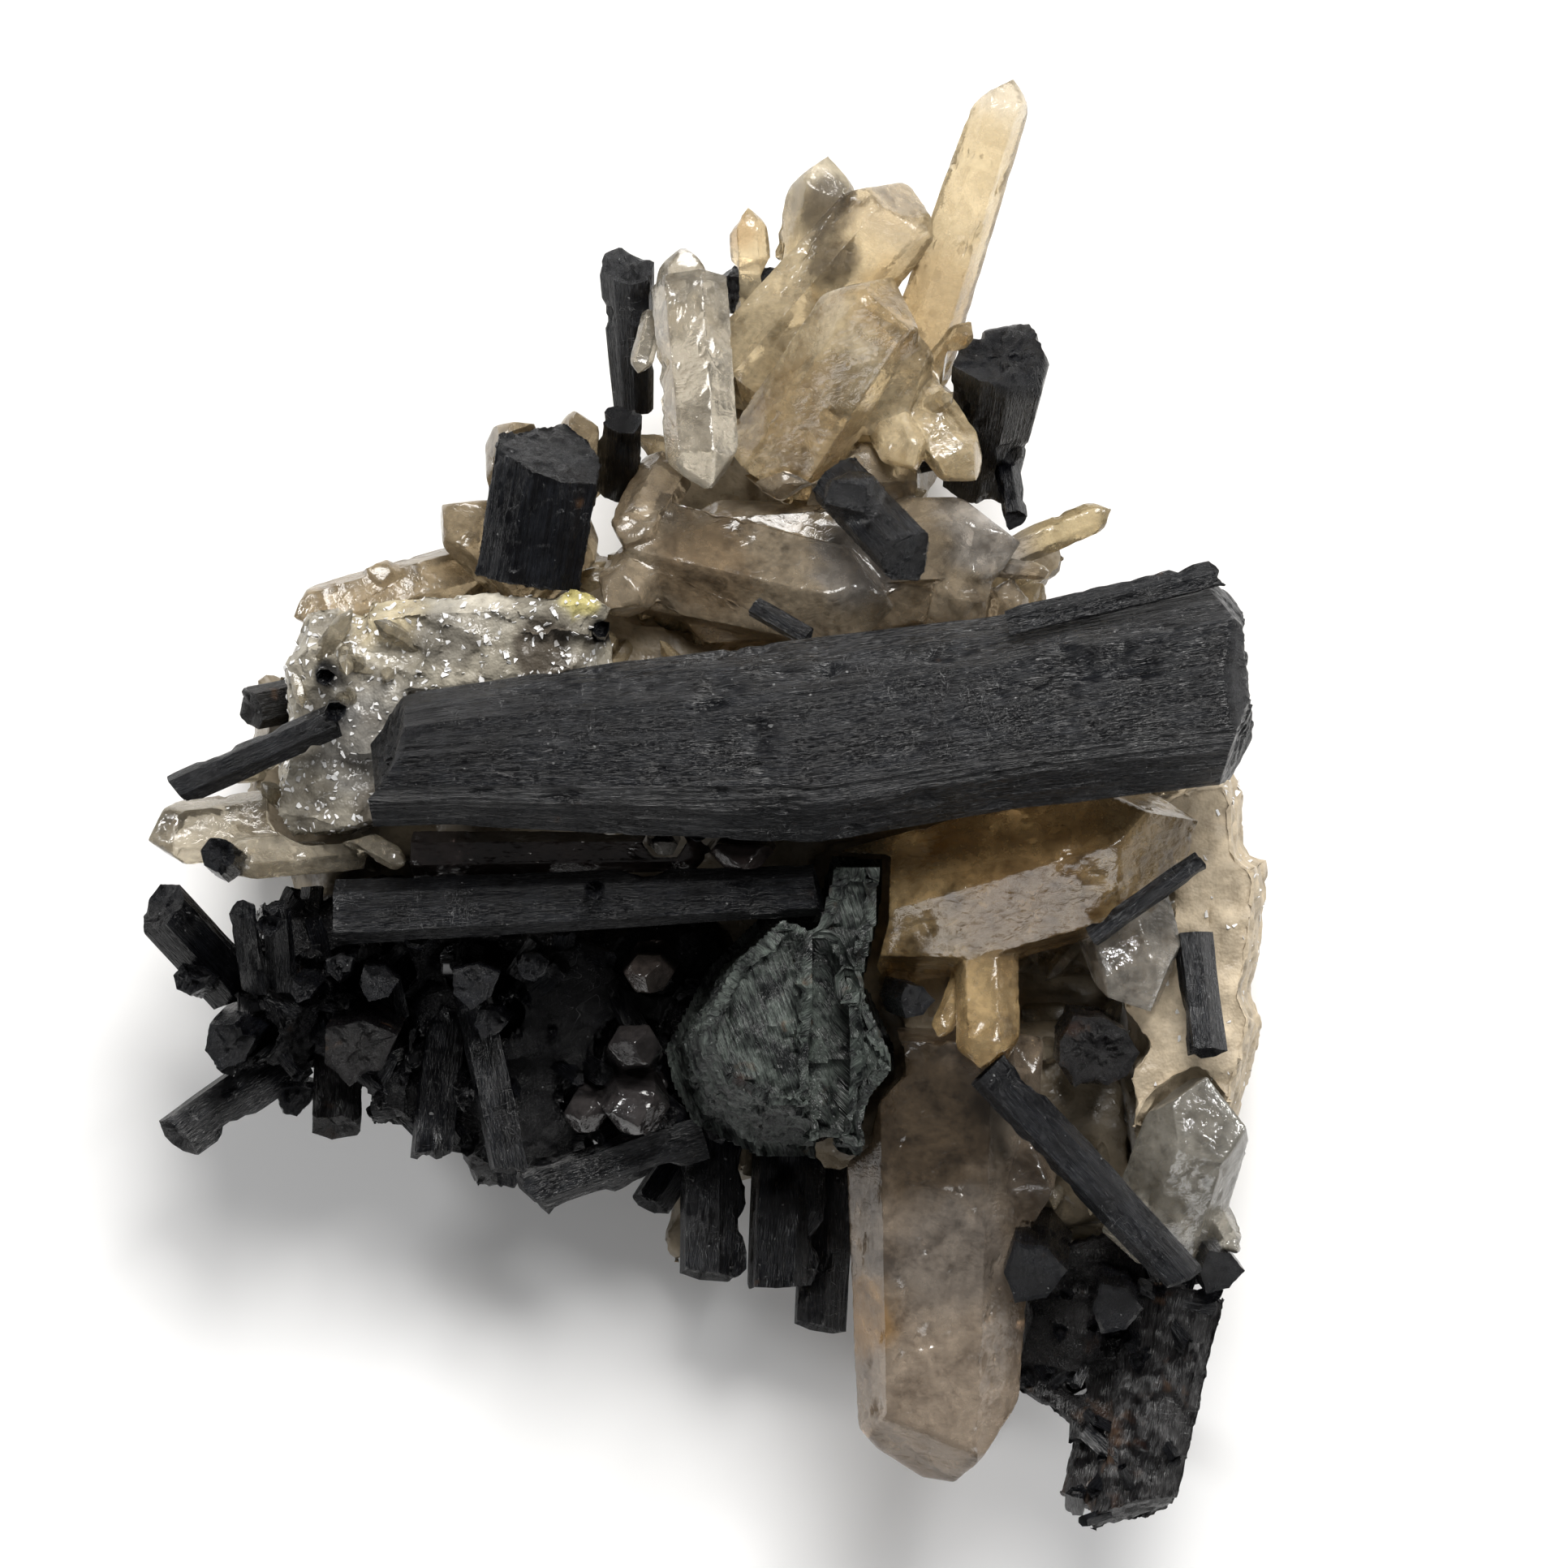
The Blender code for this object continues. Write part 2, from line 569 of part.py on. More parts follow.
node("lower_right_schorl", SCHORL_BLACK,
     schorl((34.9, -36.0, 17.0), LOWEST_SCHORL_TIP, 8.4, 7.8, roll=20, taper=0.8, tilt=(26, 0)),
     schorl((31.0, -40.0, 16.5), (27.9, -52.6, 18.5), 5.2, 4.6, roll=10, tilt=(-14, 0)),
     schorl((21.8, -41.6, 17.0), (30.6, -47.4, 19.6), 3.2, 2.8, sides=6),
     lump((26.4, -39.8, 16.5), (4.6, 4.0, 5.0), 18),
     lump((30.0, -35.6, 14.0), (8.2, 4.6, 5.0), 16))
node("lower_hex_schorl_1", SCHORL_BLACK,
     schorl((24.6, -32.0, 15.0), (24.0, -34.6, 28.0), 5.2, 5.4, sides=6, tilt=(4, 6)))
node("lower_hex_schorl_2", SCHORL_BLACK,
     schorl((30.4, -35.6, 15.0), (30.2, -37.4, 26.5), 4.3, 4.4, sides=6, tilt=(-5, 4)))
node("lower_hex_schorl_3", SCHORL_BLACK,
     schorl((36.6, -32.6, 15.0), (38.0, -34.6, 26.0), 4.0, 4.0, sides=6, tilt=(6, -4)))

# The dark cluster of schorl at the lower left

CLUSTER = (
    ((-35.3, -13.5, 16.0), (-40.6, -7.5, 21.5), 5.0, 10, (8, 6)),
    ((-33.6, -13.6, 20.0), (-34.4, -7.7, 26.0), 2.4, 0, (0, 12)),
    ((-31.6, -13.4, 20.0), (-31.9, -7.6, 26.0), 2.5, 0, (0, -8)),
    ((-29.6, -13.0, 18.0), (-30.0, -13.7, 28.0), 2.4, 10, (4, 4)),
    ((-27.2, -12.4, 18.0), (-27.3, -11.9, 28.6), 2.6, 30, (8, 4)),
    ((-24.6, -12.6, 16.0), (-24.5, -13.2, 28.0), 3.6, 8, (-6, 8)),
    ((-25.4, -16.6, 14.0), (-26.0, -18.2, 27.0), 6.2, 20, (5, -8)),
    ((-34.2, -16.0, 13.0), (-35.6, -17.8, 24.5), 4.6, 14, (-8, 6)),
    ((-31.0, -18.4, 14.0), (-39.8, -24.8, 17.0), 4.4, 16, (10, 6)),
    ((-27.6, -15.8, 12.0), (-27.8, -24.2, 15.0), 5.0, 22, (4, 10)),
    ((-19.6, -14.0, 16.0), (-20.8, -26.2, 18.0), 3.6, 12, (12, 6)),
    ((-17.8, -14.0, 20.0), (-14.9, -27.3, 22.0), 3.2, 6, (-16, 4)),
    ((-17.0, -12.4, 16.0), (-17.3, -13.3, 27.4), 4.2, 24, (6, 6)),
    ((-15.8, -15.4, 16.0), (-16.2, -16.2, 26.0), 3.0, 4, (-4, 8)),
)

for number, (foot, tip, width, roll, tilt) in enumerate(CLUSTER, 1):
    node(f"cluster_schorl_{number:02d}", SCHORL_BLACK,
         schorl(foot, tip, width, roll=roll, tilt=tilt, sides=6))

node("shadow_quartz_1", QUARTZ_SMOKY, quartz((-4.2, -11.6, 18.0), (-4.5, -12.9, 28.5), 4.4))
node("shadow_quartz_2", QUARTZ_SMOKY,
     quartz((-5.6, -18.6, 16.0), (-5.4, -17.6, 27.0), 4.8),
     quartz((-5.8, -20.6, 15.0), (-5.2, -23.2, 24.5), 5.8, 4.6, blunt=0.6),
     quartz((-8.2, -21.6, 14.8), (-9.6, -23.6, 23.4), 3.8, 3.6))
node("long_lower_schorl", SCHORL_BLACK,
     schorl((-0.6, -24.4, 16.0), (-13.6, -29.0, 17.5), 4.4, 3.8, sides=6, tilt=(24, 0)))

BOTTOM = (
    ((0.2, -22.0, 12.0), (0.1, -35.3, 14.0), 5.6, 14, (-6, 4)),
    ((6.0, -22.0, 11.0), (5.4, -36.2, 13.0), 6.2, 8, (5, -6)),
    ((8.8, -25.0, 8.0), (8.2, -39.3, 10.0), 4.6, 18, (-8, 6)),
    ((-0.4, -23.6, 9.0), (-4.6, -30.0, 11.0), 3.4, 10, (6, 8)),
)

for number, (foot, tip, width, roll, tilt) in enumerate(BOTTOM, 1):
    node(f"bottom_schorl_{number}", SCHORL_BLACK,
         schorl(foot, tip, width, roll=roll, tilt=tilt, sides=6))

# The felted black mass that carries the lower left cluster, with its small prisms

MASS_ROWS = (-11.0, -15.5, -20.0)
MASS_LEFT = -31.0
MASS_STEP = 6.2
MASS_COLUMNS = 4


def mass_prisms():
    """Small prisms that stand out of the black mass, leaning each its own way."""
    rng = seeded("mass prisms")
    prisms = []
    for row, y in enumerate(MASS_ROWS):
        for column in range(MASS_COLUMNS - row):
            x = MASS_LEFT + MASS_STEP * (column + 0.5 * row) + rng.uniform(-1, 1)
            lean_x, lean_y = rng.uniform(-1.6, 1.6), rng.uniform(-2.2, 0.8)
            foot = (round(x, 1), y, 15.0)
            tip = (round(x + lean_x, 1), round(y + lean_y, 1), round(rng.uniform(21.5, 26.0), 1))
            width = round(rng.uniform(2.0, 3.6), 1)
            tilt = (rng.uniform(-14, 14), rng.uniform(-14, 14))
            roll = rng.uniform(0, 60)
            prisms.append(schorl(foot, tip, width, roll=roll, tilt=tilt, sides=6, chips=0))
    return prisms


node("schorl_mass", SCHORL_BLACK,
     lump((-16.0, -13.0, 12.0), (19.0, 9.6, 9.0), 24),
     lump((-30.0, -13.0, 12.0), (6.6, 7.4, 8.6), 18),
     lump((-3.0, -19.0, 12.0), (9.0, 7.6, 9.5), 18),
     lump((-36.4, -5.6, 20.0), (2.1, 2.3, 4.4), 12),
     lump((-33.0, -17.2, 16.0), (4.6, 3.8, 6.0), 14),
     lump((-22.0, -20.2, 12.5), (5.0, 5.4, 6.5), 14),
     lump((-13.6, -23.2, 11.5), (6.6, 7.0, 6.5), 16),
     *mass_prisms())

# The pale feldspar edge on the right, with its ledges

EDGE_OUTLINE = (
    (37.6, 2.8), (39.7, 2.9), (40.6, 0.8), (40.6, -3.4), (42.2, -3.9), (42.4, -5.2),
    (41.8, -11.6), (41.0, -14.0), (42.0, -16.4), (41.4, -19.4), (40.0, -24.0),
    (39.4, -29.4), (38.6, -32.4), (33.0, -31.0), (31.0, -14.0), (32.0, 0.0),
)

node("feldspar_edge", EDGE_STONE,
     slab(EDGE_OUTLINE, 11.0, 24.0, 0.93, lean=(-1.2, 0)),
     lump((35.6, -11.0, 11.0), (5.2, 13.0, 8.5), 18))

# The quartz matrix that everything grows from, broken flat below

MATRIX_LUMPS = (
    ((4.0, 6.0, 9.0), (24.0, 17.0, 14.5)),
    ((7.0, 25.0, 9.0), (13.0, 13.0, 12.5)),
    ((-17.0, 9.4, 9.0), (13.4, 10.2, 12.5)),
    ((27.0, -2.0, 9.0), (12.0, 15.0, 14.5)),
    ((26.0, -24.0, 8.0), (12.0, 13.0, 12.0)),
    ((8.0, -16.0, 8.0), (17.0, 14.0, 12.0)),
    ((-16.0, -9.0, 6.0), (18.0, 13.0, 8.5)),
    ((-28.0, 2.0, 8.0), (9.0, 9.0, 11.0)),
    ((6.0, 5.0, 18.0), (30.0, 6.4, 13.5)),
)

# Where small quartz crystals stand out of the matrix's sides: compass direction, in degrees
# from +X, distance of the foot from the middle, height and width

FLANK_MIDDLE = (4.0, 0.0)
FLANK_CRYSTALS = (
    (38, 21, 8, 4.4), (66, 26, 7, 4.6), (82, 33, 10, 3.6), (128, 22, 8, 5.0),
    (155, 27, 7, 4.4), (168, 30, 9, 3.8), (262, 26, 6, 4.8), (12, 23, 7, 4.6),
)
FLANK_REACH = 10.5


def flank_crystals():
    rng = seeded("flank crystals")
    crystals = []
    for degrees, distance, height, width in FLANK_CRYSTALS:
        angle = math.radians(degrees)
        out = Vector((math.cos(angle), math.sin(angle), 0))
        foot = Vector((*FLANK_MIDDLE, height)) + out * distance
        side = Vector((-out.y, out.x, 0)) * rng.uniform(-2.4, 2.4)
        tip = foot + out * FLANK_REACH + side + Vector((0, 0, rng.uniform(0.5, 4.5)))
        foot, tip = tuple(round(c, 1) for c in foot), tuple(round(c, 1) for c in tip)
        crystals.append(quartz(foot, tip, width, roll=rng.uniform(0, 60)))
    return crystals


def matrix_piece():
    joined = mesh_of("matrix", lump(*MATRIX_LUMPS[0], 20))
    pieces = [lump(centre, size, 15) for centre, size in MATRIX_LUMPS[1:]]
    for piece in pieces + flank_crystals():
        joined = combined(joined, mesh_of("matrix", piece), "UNION")
    bm = bmesh.new()
    bm.from_mesh(joined)
    slice_off(bm, Vector((0, 0, 0)), Vector((0, 0, -1)))
    bmesh.ops.recalc_face_normals(bm, faces=list(bm.faces))
    return bm


node("quartz_matrix", MATRIX_STONE, matrix_piece())


def settle():
    """Puts the origin under the middle of the whole specimen."""
    bpy.context.view_layer.update()
    corners = [made.matrix_world @ v.co for made in bpy.data.objects for v in made.data.vertices]
    shift = Vector((0, 0, 0))
    for axis in (0, 1):
        low = min(corner[axis] for corner in corners)
        high = max(corner[axis] for corner in corners)
        shift[axis] = -0.5 * (low + high)
    for made in bpy.data.objects:
        made.location = shift


settle()
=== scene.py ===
"""The finish of a schorl and smoky quartz specimen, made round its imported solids.

Places and sizes are in millimetres, in the photograph's frame: X across, Y up the picture and
Z towards the viewer, as the solids have them before their origin is centred.
"""

import itertools
import math
import random
from collections import namedtuple

import bmesh
import bpy
import numpy as np
from mathutils import Matrix, Vector


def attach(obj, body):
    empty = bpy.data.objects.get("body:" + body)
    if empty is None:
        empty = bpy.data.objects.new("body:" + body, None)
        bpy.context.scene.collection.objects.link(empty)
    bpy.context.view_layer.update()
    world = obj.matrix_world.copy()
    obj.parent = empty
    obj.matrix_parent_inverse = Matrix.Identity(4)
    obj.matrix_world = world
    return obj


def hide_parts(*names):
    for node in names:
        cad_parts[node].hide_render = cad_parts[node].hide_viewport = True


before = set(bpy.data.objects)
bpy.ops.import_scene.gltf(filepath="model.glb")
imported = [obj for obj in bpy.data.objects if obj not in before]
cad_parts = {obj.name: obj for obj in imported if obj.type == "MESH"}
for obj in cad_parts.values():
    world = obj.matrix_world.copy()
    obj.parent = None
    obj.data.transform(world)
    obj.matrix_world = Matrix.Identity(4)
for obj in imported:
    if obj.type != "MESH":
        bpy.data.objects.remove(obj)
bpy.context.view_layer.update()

MM = 0.001
BODY = "root"

# What the solids' frame is moved by, to put its origin under the middle of the specimen

ORIGIN = np.array((-0.0638, 0.1499, 0.0))

# How much of the specimen the photograph takes in, and where its middle lies

VIEW_WIDTH = 115.92
VIEW_MIDDLE = (5.64, 1.56)
CAMERA_HEIGHT = 1200.0
SENSOR = 36.0
SUBJECT_HEIGHT = 30.0

# Half the floor's side, in metres, and how strongly the pale studio lights everything

FLOOR_HALF = 1.5
STUDIO_LIGHT = 0.15

# The large crystal's length and its two ends, and the slope of a pointed schorl's end faces

LARGE_LENGTH = 64.2
LARGE_LEFT_END = (-25.0, 2.9, 34.5)
LARGE_RIGHT_END = (38.8, 9.6, 37.4)
SCHORL_POINT = math.radians(27)

# How far apart the points of a prism's outline lie, and how deep its stripes and breaks go

PRISM_STEP = 0.18
PRISM_GROOVE = 0.20
LARGE_STEP = 0.16
LARGE_GROOVE = 0.42
LARGE_BREAK = 0.7
LARGE_FLAW_SIZE = 3.4
LARGE_SEED = 404
SMALL_STEP = 0.32
SMALL_GROOVE = 0.1
KNOB_STEP = 0.2
KNOB_GROOVE = 0.2

# How often the edges of quartz are worn, and the lowest place for a scattered crystal

WEAR_ROUNDS = 2
LOWEST_SPOT = 8.0


def seeded(*values):
    """A random source that depends on nothing but the piece's own numbers."""
    return random.Random(repr(values))


def srgb(red, green, blue):
    """Linear colour from the 0 to 255 values that a screen shows."""
    values = [c / 255 for c in (red, green, blue)]
    return tuple(c / 12.92 if c <= 0.04045 else ((c + 0.055) / 1.055) ** 2.4 for c in values)


# Noise that is the same on every run

def lattice(corner, seed):
    """A number from 0 to 1 for each whole-number point."""
    mixed = corner[:, 0] * 374761393 + corner[:, 1] * 668265263 + corner[:, 2] * 1442695041
    mixed = (mixed + seed * 974634777) & 0xFFFFFFFF
    mixed = ((mixed ^ (mixed >> 13)) * 1274126177) & 0xFFFFFFFF
    mixed = mixed ^ (mixed >> 16)
    return (mixed & 0xFFFFFF) / float(0xFFFFFF)


def soft_noise(points, size, seed):
    """Smooth noise from -1 to 1, with lumps of about the size given."""
    scaled = points / np.asarray(size, float)
    base = np.floor(scaled).astype(np.int64)
    part = scaled - base
    part = part * part * (3 - 2 * part)
    total = np.zeros(len(points))
    for step in itertools.product((0, 1), repeat=3):
        weight = np.ones(len(points))
        for axis in range(3):
            weight *= part[:, axis] if step[axis] else 1 - part[:, axis]
        total += weight * lattice(base + np.array(step), seed)
    return total * 2 - 1


def rough_noise(points, size, seed, octaves=4):
    """Noise with finer and finer lumps."""
    size = np.asarray(size, float)
    total, most = np.zeros(len(points)), 0.0
    for octave in range(octaves):
        weight = 0.5 ** octave
        total += weight * soft_noise(points, size / 2 ** octave, seed + 17 * octave)
        most += weight
    return total / most


def ridged(values):
    """Noise folded into sharp crests, from 0 to 1."""
    return 1 - np.abs(values)


def cells(points, size, seed):
    """How far each point is from the middle of its cell, and the cell's own number."""
    scaled = points / np.asarray(size, float)
    base = np.floor(scaled).astype(np.int64)
    near = np.full(len(points), 9.0)
    number = np.zeros(len(points))
    for step in itertools.product((-1, 0, 1), repeat=3):
        corner = base + np.array(step)
        middle = np.stack([lattice(corner, seed + k) for k in (1, 2, 3)], 1) + corner
        away = np.linalg.norm(middle - scaled, axis=1)
        closer = away < near
        number = np.where(closer, lattice(corner, seed + 4), number)
        near = np.where(closer, away, near)
    return near, number


# Meshes made from arrays

Surface = namedtuple("Surface", "points faces crystal")


def joined(surfaces):
    """Several surfaces as one."""
    points, faces, crystal, start = [], [], [], 0
    for surface in surfaces:
        points.append(surface.points)
        crystal.append(surface.crystal)
        faces += [face + start for face in surface.faces]
        start += len(surface.points)
    return Surface(np.concatenate(points), faces, np.concatenate(crystal))


def mesh_from(name, surface):
    """A mesh of the surface, whose faces come as arrays of triangles and of quads."""
    mesh = bpy.data.meshes.new(name)
    loops = np.concatenate([face.ravel() for face in surface.faces]).astype(np.int32)
    sizes = np.concatenate([np.full(len(face), face.shape[1]) for face in surface.faces])
    starts = np.concatenate([[0], np.cumsum(sizes)[:-1]]).astype(np.int32)
    mesh.vertices.add(len(surface.points))
    mesh.vertices.foreach_set("co", ((surface.points + ORIGIN) * MM).astype(np.float32).ravel())
    mesh.loops.add(len(loops))
    mesh.loops.foreach_set("vertex_index", loops)
    mesh.polygons.add(len(sizes))
    mesh.polygons.foreach_set("loop_start", starts)
    mesh.update(calc_edges=True)
    mesh.validate()
    return mesh


def store(mesh, name, kind, values):
    """Keeps one value for each point on the mesh, for the material to read."""
    attribute = mesh.attributes.new(name, kind, "POINT")
    field = "color" if kind == "FLOAT_COLOR" else "vector"
    attribute.data.foreach_set(field, values.astype(np.float32).ravel())


def piece_of(name, mesh, material, slot, *nodes, crease=38):
    """The finished piece, in place of the solids that it stands for."""
    made = bpy.data.objects.new(name, mesh)
    bpy.context.scene.collection.objects.link(made)
    mesh.materials.append(material)
    mesh.shade_smooth()
    mesh.set_sharp_from_angle(angle=math.radians(crease))
    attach(made, BODY)
    if nodes:
        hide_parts(*nodes)


def coordinates(mesh):
    """A mesh's points in the photograph's frame, in millimetres."""
    points = np.empty(len(mesh.vertices) * 3, np.float32)
    mesh.vertices.foreach_get("co", points)
    return points.reshape(-1, 3).astype(float) / MM - ORIGIN


def directions(mesh):
    """The direction that the mesh faces at each point."""
    normals = np.empty(len(mesh.vertices) * 3, np.float32)
    mesh.vertices.foreach_get("normal", normals)
    return normals.reshape(-1, 3).astype(float)


def move_to(mesh, points):
    """Moves the mesh's points to places given in millimetres."""
    mesh.vertices.foreach_set("co", ((points + ORIGIN) * MM).astype(np.float32).ravel())
    mesh.update()


# Paint: each place has its middle, its reach, its colour and how strongly it covers

Patch = namedtuple("Patch", "x y reach colour cover", defaults=(0.8,))


def painted(points, base, patches=(), uneven=0.25, seed=5):
    """A colour for every point: the base, blotched a little, with the patches over it."""
    colours = np.tile(np.array(base, float), (len(points), 1))
    blotch = rough_noise(points, 3.2, seed) * uneven + rough_noise(points, 0.7, seed + 3) * uneven * 0.4
    colours *= (1 + blotch)[:, None]
    edge = rough_noise(points, 1.5, seed + 9)
    for patch in patches:
        away = np.hypot(points[:, 0] - patch.x, points[:, 1] - patch.y) / patch.reach
        weight = np.clip((1.25 - away + 0.45 * edge) / 0.6, 0, 1)
        weight = (weight * weight * (3 - 2 * weight) * patch.cover)[:, None]
        shade = np.array(srgb(*patch.colour)) * (1 + 0.8 * blotch)[:, None]
        colours = colours * (1 - weight) + shade * weight
    return np.concatenate([np.clip(colours, 0, 1), np.ones((len(points), 1))], 1)


# Node trees

class Tree:
    """A short way to write a material's nodes."""

    def __init__(self, name):
        self.material = bpy.data.materials.new(name)
        self.material.use_nodes = True
        self.nodes = self.material.node_tree.nodes
        self.links = self.material.node_tree.links
        self.shader = self.nodes["Principled BSDF"]
        self.output = self.nodes["Material Output"]

    def add(self, kind, **settings):
        made = self.nodes.new(kind)
        for key, value in settings.items():
            setattr(made, key, value)
        return made

    def link(self, start, end):
        self.links.new(start, end)

    def put(self, **values):
        for key, value in values.items():
            self.shader.inputs[key.replace("_", " ")].default_value = value

    def noise(self, vector, scale, detail, rough, twist=0.0):
        made = self.add("ShaderNodeTexNoise")
        made.inputs["Scale"].default_value = scale
        made.inputs["Detail"].default_value = detail
        made.inputs["Roughness"].default_value = rough
        made.inputs["Distortion"].default_value = twist
        self.link(vector, made.inputs["Vector"])
        return made.outputs["Fac"]

    def stretched(self, vector, scale):
        made = self.add("ShaderNodeMapping")
        made.inputs["Scale"].default_value = scale
        self.link(vector, made.inputs["Vector"])
        return made.outputs["Vector"]

    def ranged(self, value, low, high, to_low, to_high):
        made = self.add("ShaderNodeMapRange")
        for name, number in zip(("From Min", "From Max", "To Min", "To Max"), (low, high, to_low, to_high)):
            made.inputs[name].default_value = number
        self.link(value, made.inputs["Value"])
        return made.outputs["Result"]

    def ramp(self, value, *stops):
        made = self.add("ShaderNodeValToRGB")
        elements = made.color_ramp.elements
        while len(elements) < len(stops):
            elements.new(0.5)
        for element, (place, colour) in zip(elements, stops):
            element.position = place
            element.color = (*colour, 1)
        self.link(value, made.inputs["Fac"])
        return made.outputs["Color"]

    def mixed(self, kind, factor, first, second):
        made = self.add("ShaderNodeMix", data_type="RGBA", blend_type=kind)
        if isinstance(factor, float):
            made.inputs["Factor"].default_value = factor
        else:
            self.link(factor, made.inputs["Factor"])
        self.link(first, made.inputs["A"])
        self.link(second, made.inputs["B"])
        return made.outputs["Result"]

    def math(self, operation, first, second):
        made = self.add("ShaderNodeMath", operation=operation)
        for socket, value in zip(made.inputs, (first, second)):
            if isinstance(value, (int, float)):
                socket.default_value = value
            else:
                self.link(value, socket)
        return made.outputs["Value"]

    def bump(self, height, strength, distance):
        made = self.add("ShaderNodeBump")
        made.inputs["Strength"].default_value = strength
        made.inputs["Distance"].default_value = distance * MM
        self.link(height, made.inputs["Height"])
        return made.outputs["Normal"]


def schorl_material(name, dark, light, rough_low=0.10, rough_high=0.36, rust=0.0, dust=0.55):
    """Black tourmaline: fine stripes along the crystal, glossy faces, dusty scratches, rusty films."""
    tree = Tree(name)
    crystal = tree.add("ShaderNodeAttribute", attribute_name="crystal").outputs["Vector"]
    tone = tree.add("ShaderNodeAttribute", attribute_name="tone").outputs["Color"]
    place = tree.add("ShaderNodeTexCoord").outputs["Object"]
    stripes = tree.noise(tree.stretched(crystal, (6.0, 6.0, 0.2)), 1.0, 3.0, 0.65)
    fine = tree.noise(tree.stretched(crystal, (20.0, 20.0, 0.8)), 1.0, 1.0, 0.6)
    patches = tree.noise(place, 420.0, 3.0, 0.6)
    base = tree.ramp(tree.math("MULTIPLY", stripes, patches), (0.18, dark), (0.44, light))
    rusty = tree.ramp(patches, (0.40, srgb(46, 28, 20)), (0.75, srgb(112, 84, 58)))
    films = tree.ranged(tree.noise(place, 260.0, 3.0, 0.7), 0.68 - rust, 0.82 - rust, 0.0, 0.8)
    base = tree.mixed("MIX", films, base, rusty)
    base = tree.mixed("MULTIPLY", 1.0, base, tone)
    across = tree.noise(tree.stretched(crystal, (0.30, 0.30, 0.9)), 1.0, 2.0, 0.6, 1.5)
    line = tree.math("ABSOLUTE", tree.math("SUBTRACT", across, 0.5), 0.0)
    line = tree.ranged(line, 0.0, 0.006, 1.0, 0.0)
    spread = tree.ranged(tree.noise(place, 150.0, 1.0, 0.5), 0.50, 0.64, 0.0, dust)
    specks = tree.ranged(tree.noise(place, 2600.0, 0.0, 0.5), 0.84, 0.88, 0.0, dust)
    pale = tree.math("MAXIMUM", tree.math("MULTIPLY", line, spread), specks)
    dusty = tree.ramp(fine, (0.3, srgb(86, 88, 92)), (0.7, srgb(168, 168, 166)))
    base = tree.mixed("MIX", pale, base, dusty)
    tree.link(base, tree.shader.inputs["Base Color"])
    dull = tree.ranged(tree.math("ADD", fine, patches), 0.6, 1.4, rough_low, rough_high)
    tree.link(dull, tree.shader.inputs["Roughness"])
    tree.put(IOR=1.64, Specular_IOR_Level=0.32)
    height = tree.math("ADD", stripes, tree.math("MULTIPLY", fine, 0.6))
    tree.link(tree.bump(height, 0.8, 0.24), tree.shader.inputs["Normal"])
    return tree.material


def quartz_material(name, clear, absorb, density, rough):
    """Quartz: see-through with a cloudy inside, and etched, lightly stepped faces."""
    tree = Tree(name)
    tone = tree.add("ShaderNodeAttribute", attribute_name="tone").outputs["Color"]
    place = tree.add("ShaderNodeTexCoord").outputs["Object"]
    veils = tree.noise(place, 330.0, 4.0, 0.62, 0.6)
    grain = tree.noise(place, 1700.0, 2.0, 0.6)
    steps = tree.noise(tree.stretched(place, (1.0, 1.6, 0.8)), 900.0, 3.0, 0.55, 1.2)
    milky = tree.ramp(veils, (0.35, (0.62, 0.60, 0.56)), (0.62, (1.0, 1.0, 1.0)))
    base = tree.mixed("MULTIPLY", 0.35, tone, milky)
    tree.link(base, tree.shader.inputs["Base Color"])
    mist = tree.math("ADD", veils, tree.math("MULTIPLY", grain, 0.35))
    seen = tree.ranged(mist, 0.45, 0.85, clear[1], clear[0])
    tree.link(seen, tree.shader.inputs["Transmission Weight"])
    etched = tree.ranged(tree.math("ADD", steps, grain), 0.7, 1.3, rough[0], rough[1])
    tree.link(etched, tree.shader.inputs["Roughness"])
    tree.put(IOR=1.544)
    height = tree.math("ADD", steps, tree.math("MULTIPLY", grain, 0.35))
    tree.link(tree.bump(height, 0.25, 0.25), tree.shader.inputs["Normal"])
    volume = tree.add("ShaderNodeVolumeAbsorption")
    volume.inputs["Color"].default_value = (*absorb, 1)
    volume.inputs["Density"].default_value = density
    tree.link(volume.outputs["Volume"], tree.output.inputs["Volume"])
    return tree.material


def stone_material(name, rough_low, rough_high, scale, glints, bump):
    """Broken stone, its colour from the painted tone, with grain and, if asked, bright mica flakes."""
    tree = Tree(name)
    tone = tree.add("ShaderNodeAttribute", attribute_name="tone").outputs["Color"]
    place = tree.add("ShaderNodeTexCoord").outputs["Object"]
    grain = tree.noise(place, scale, 4.0, 0.65)
    fine = tree.noise(place, scale * 4, 1.0, 0.6)
    shade = tree.ramp(grain, (0.30, (0.45, 0.43, 0.41)), (0.66, (1.0, 1.0, 1.0)))
    base = tree.mixed("MULTIPLY", 0.8, tone, shade)
    tree.link(base, tree.shader.inputs["Base Color"])
    flakes = tree.add("ShaderNodeTexVoronoi", feature="F1")
    flakes.inputs["Scale"].default_value = scale * 1.5
    tree.link(place, flakes.inputs["Vector"])
    each = tree.add("ShaderNodeSeparateColor")
    tree.link(flakes.outputs["Color"], each.inputs["Color"])
    bright = tree.ranged(each.outputs["Red"], 0.55, 0.9, 0.0, glints)
    dull = tree.ranged(grain, 0.35, 0.65, rough_low, rough_high)
    roughness = tree.math("SUBTRACT", dull, bright)
    tree.link(roughness, tree.shader.inputs["Roughness"])
    height = tree.math("ADD", grain, tree.math("MULTIPLY", fine, 0.4))
    height = tree.math("ADD", height, tree.math("MULTIPLY", each.outputs["Green"], glints))
    tree.link(tree.bump(height, bump, 0.22), tree.shader.inputs["Normal"])
    return tree.material


# Schorl prisms, made as striated surfaces with broken ends

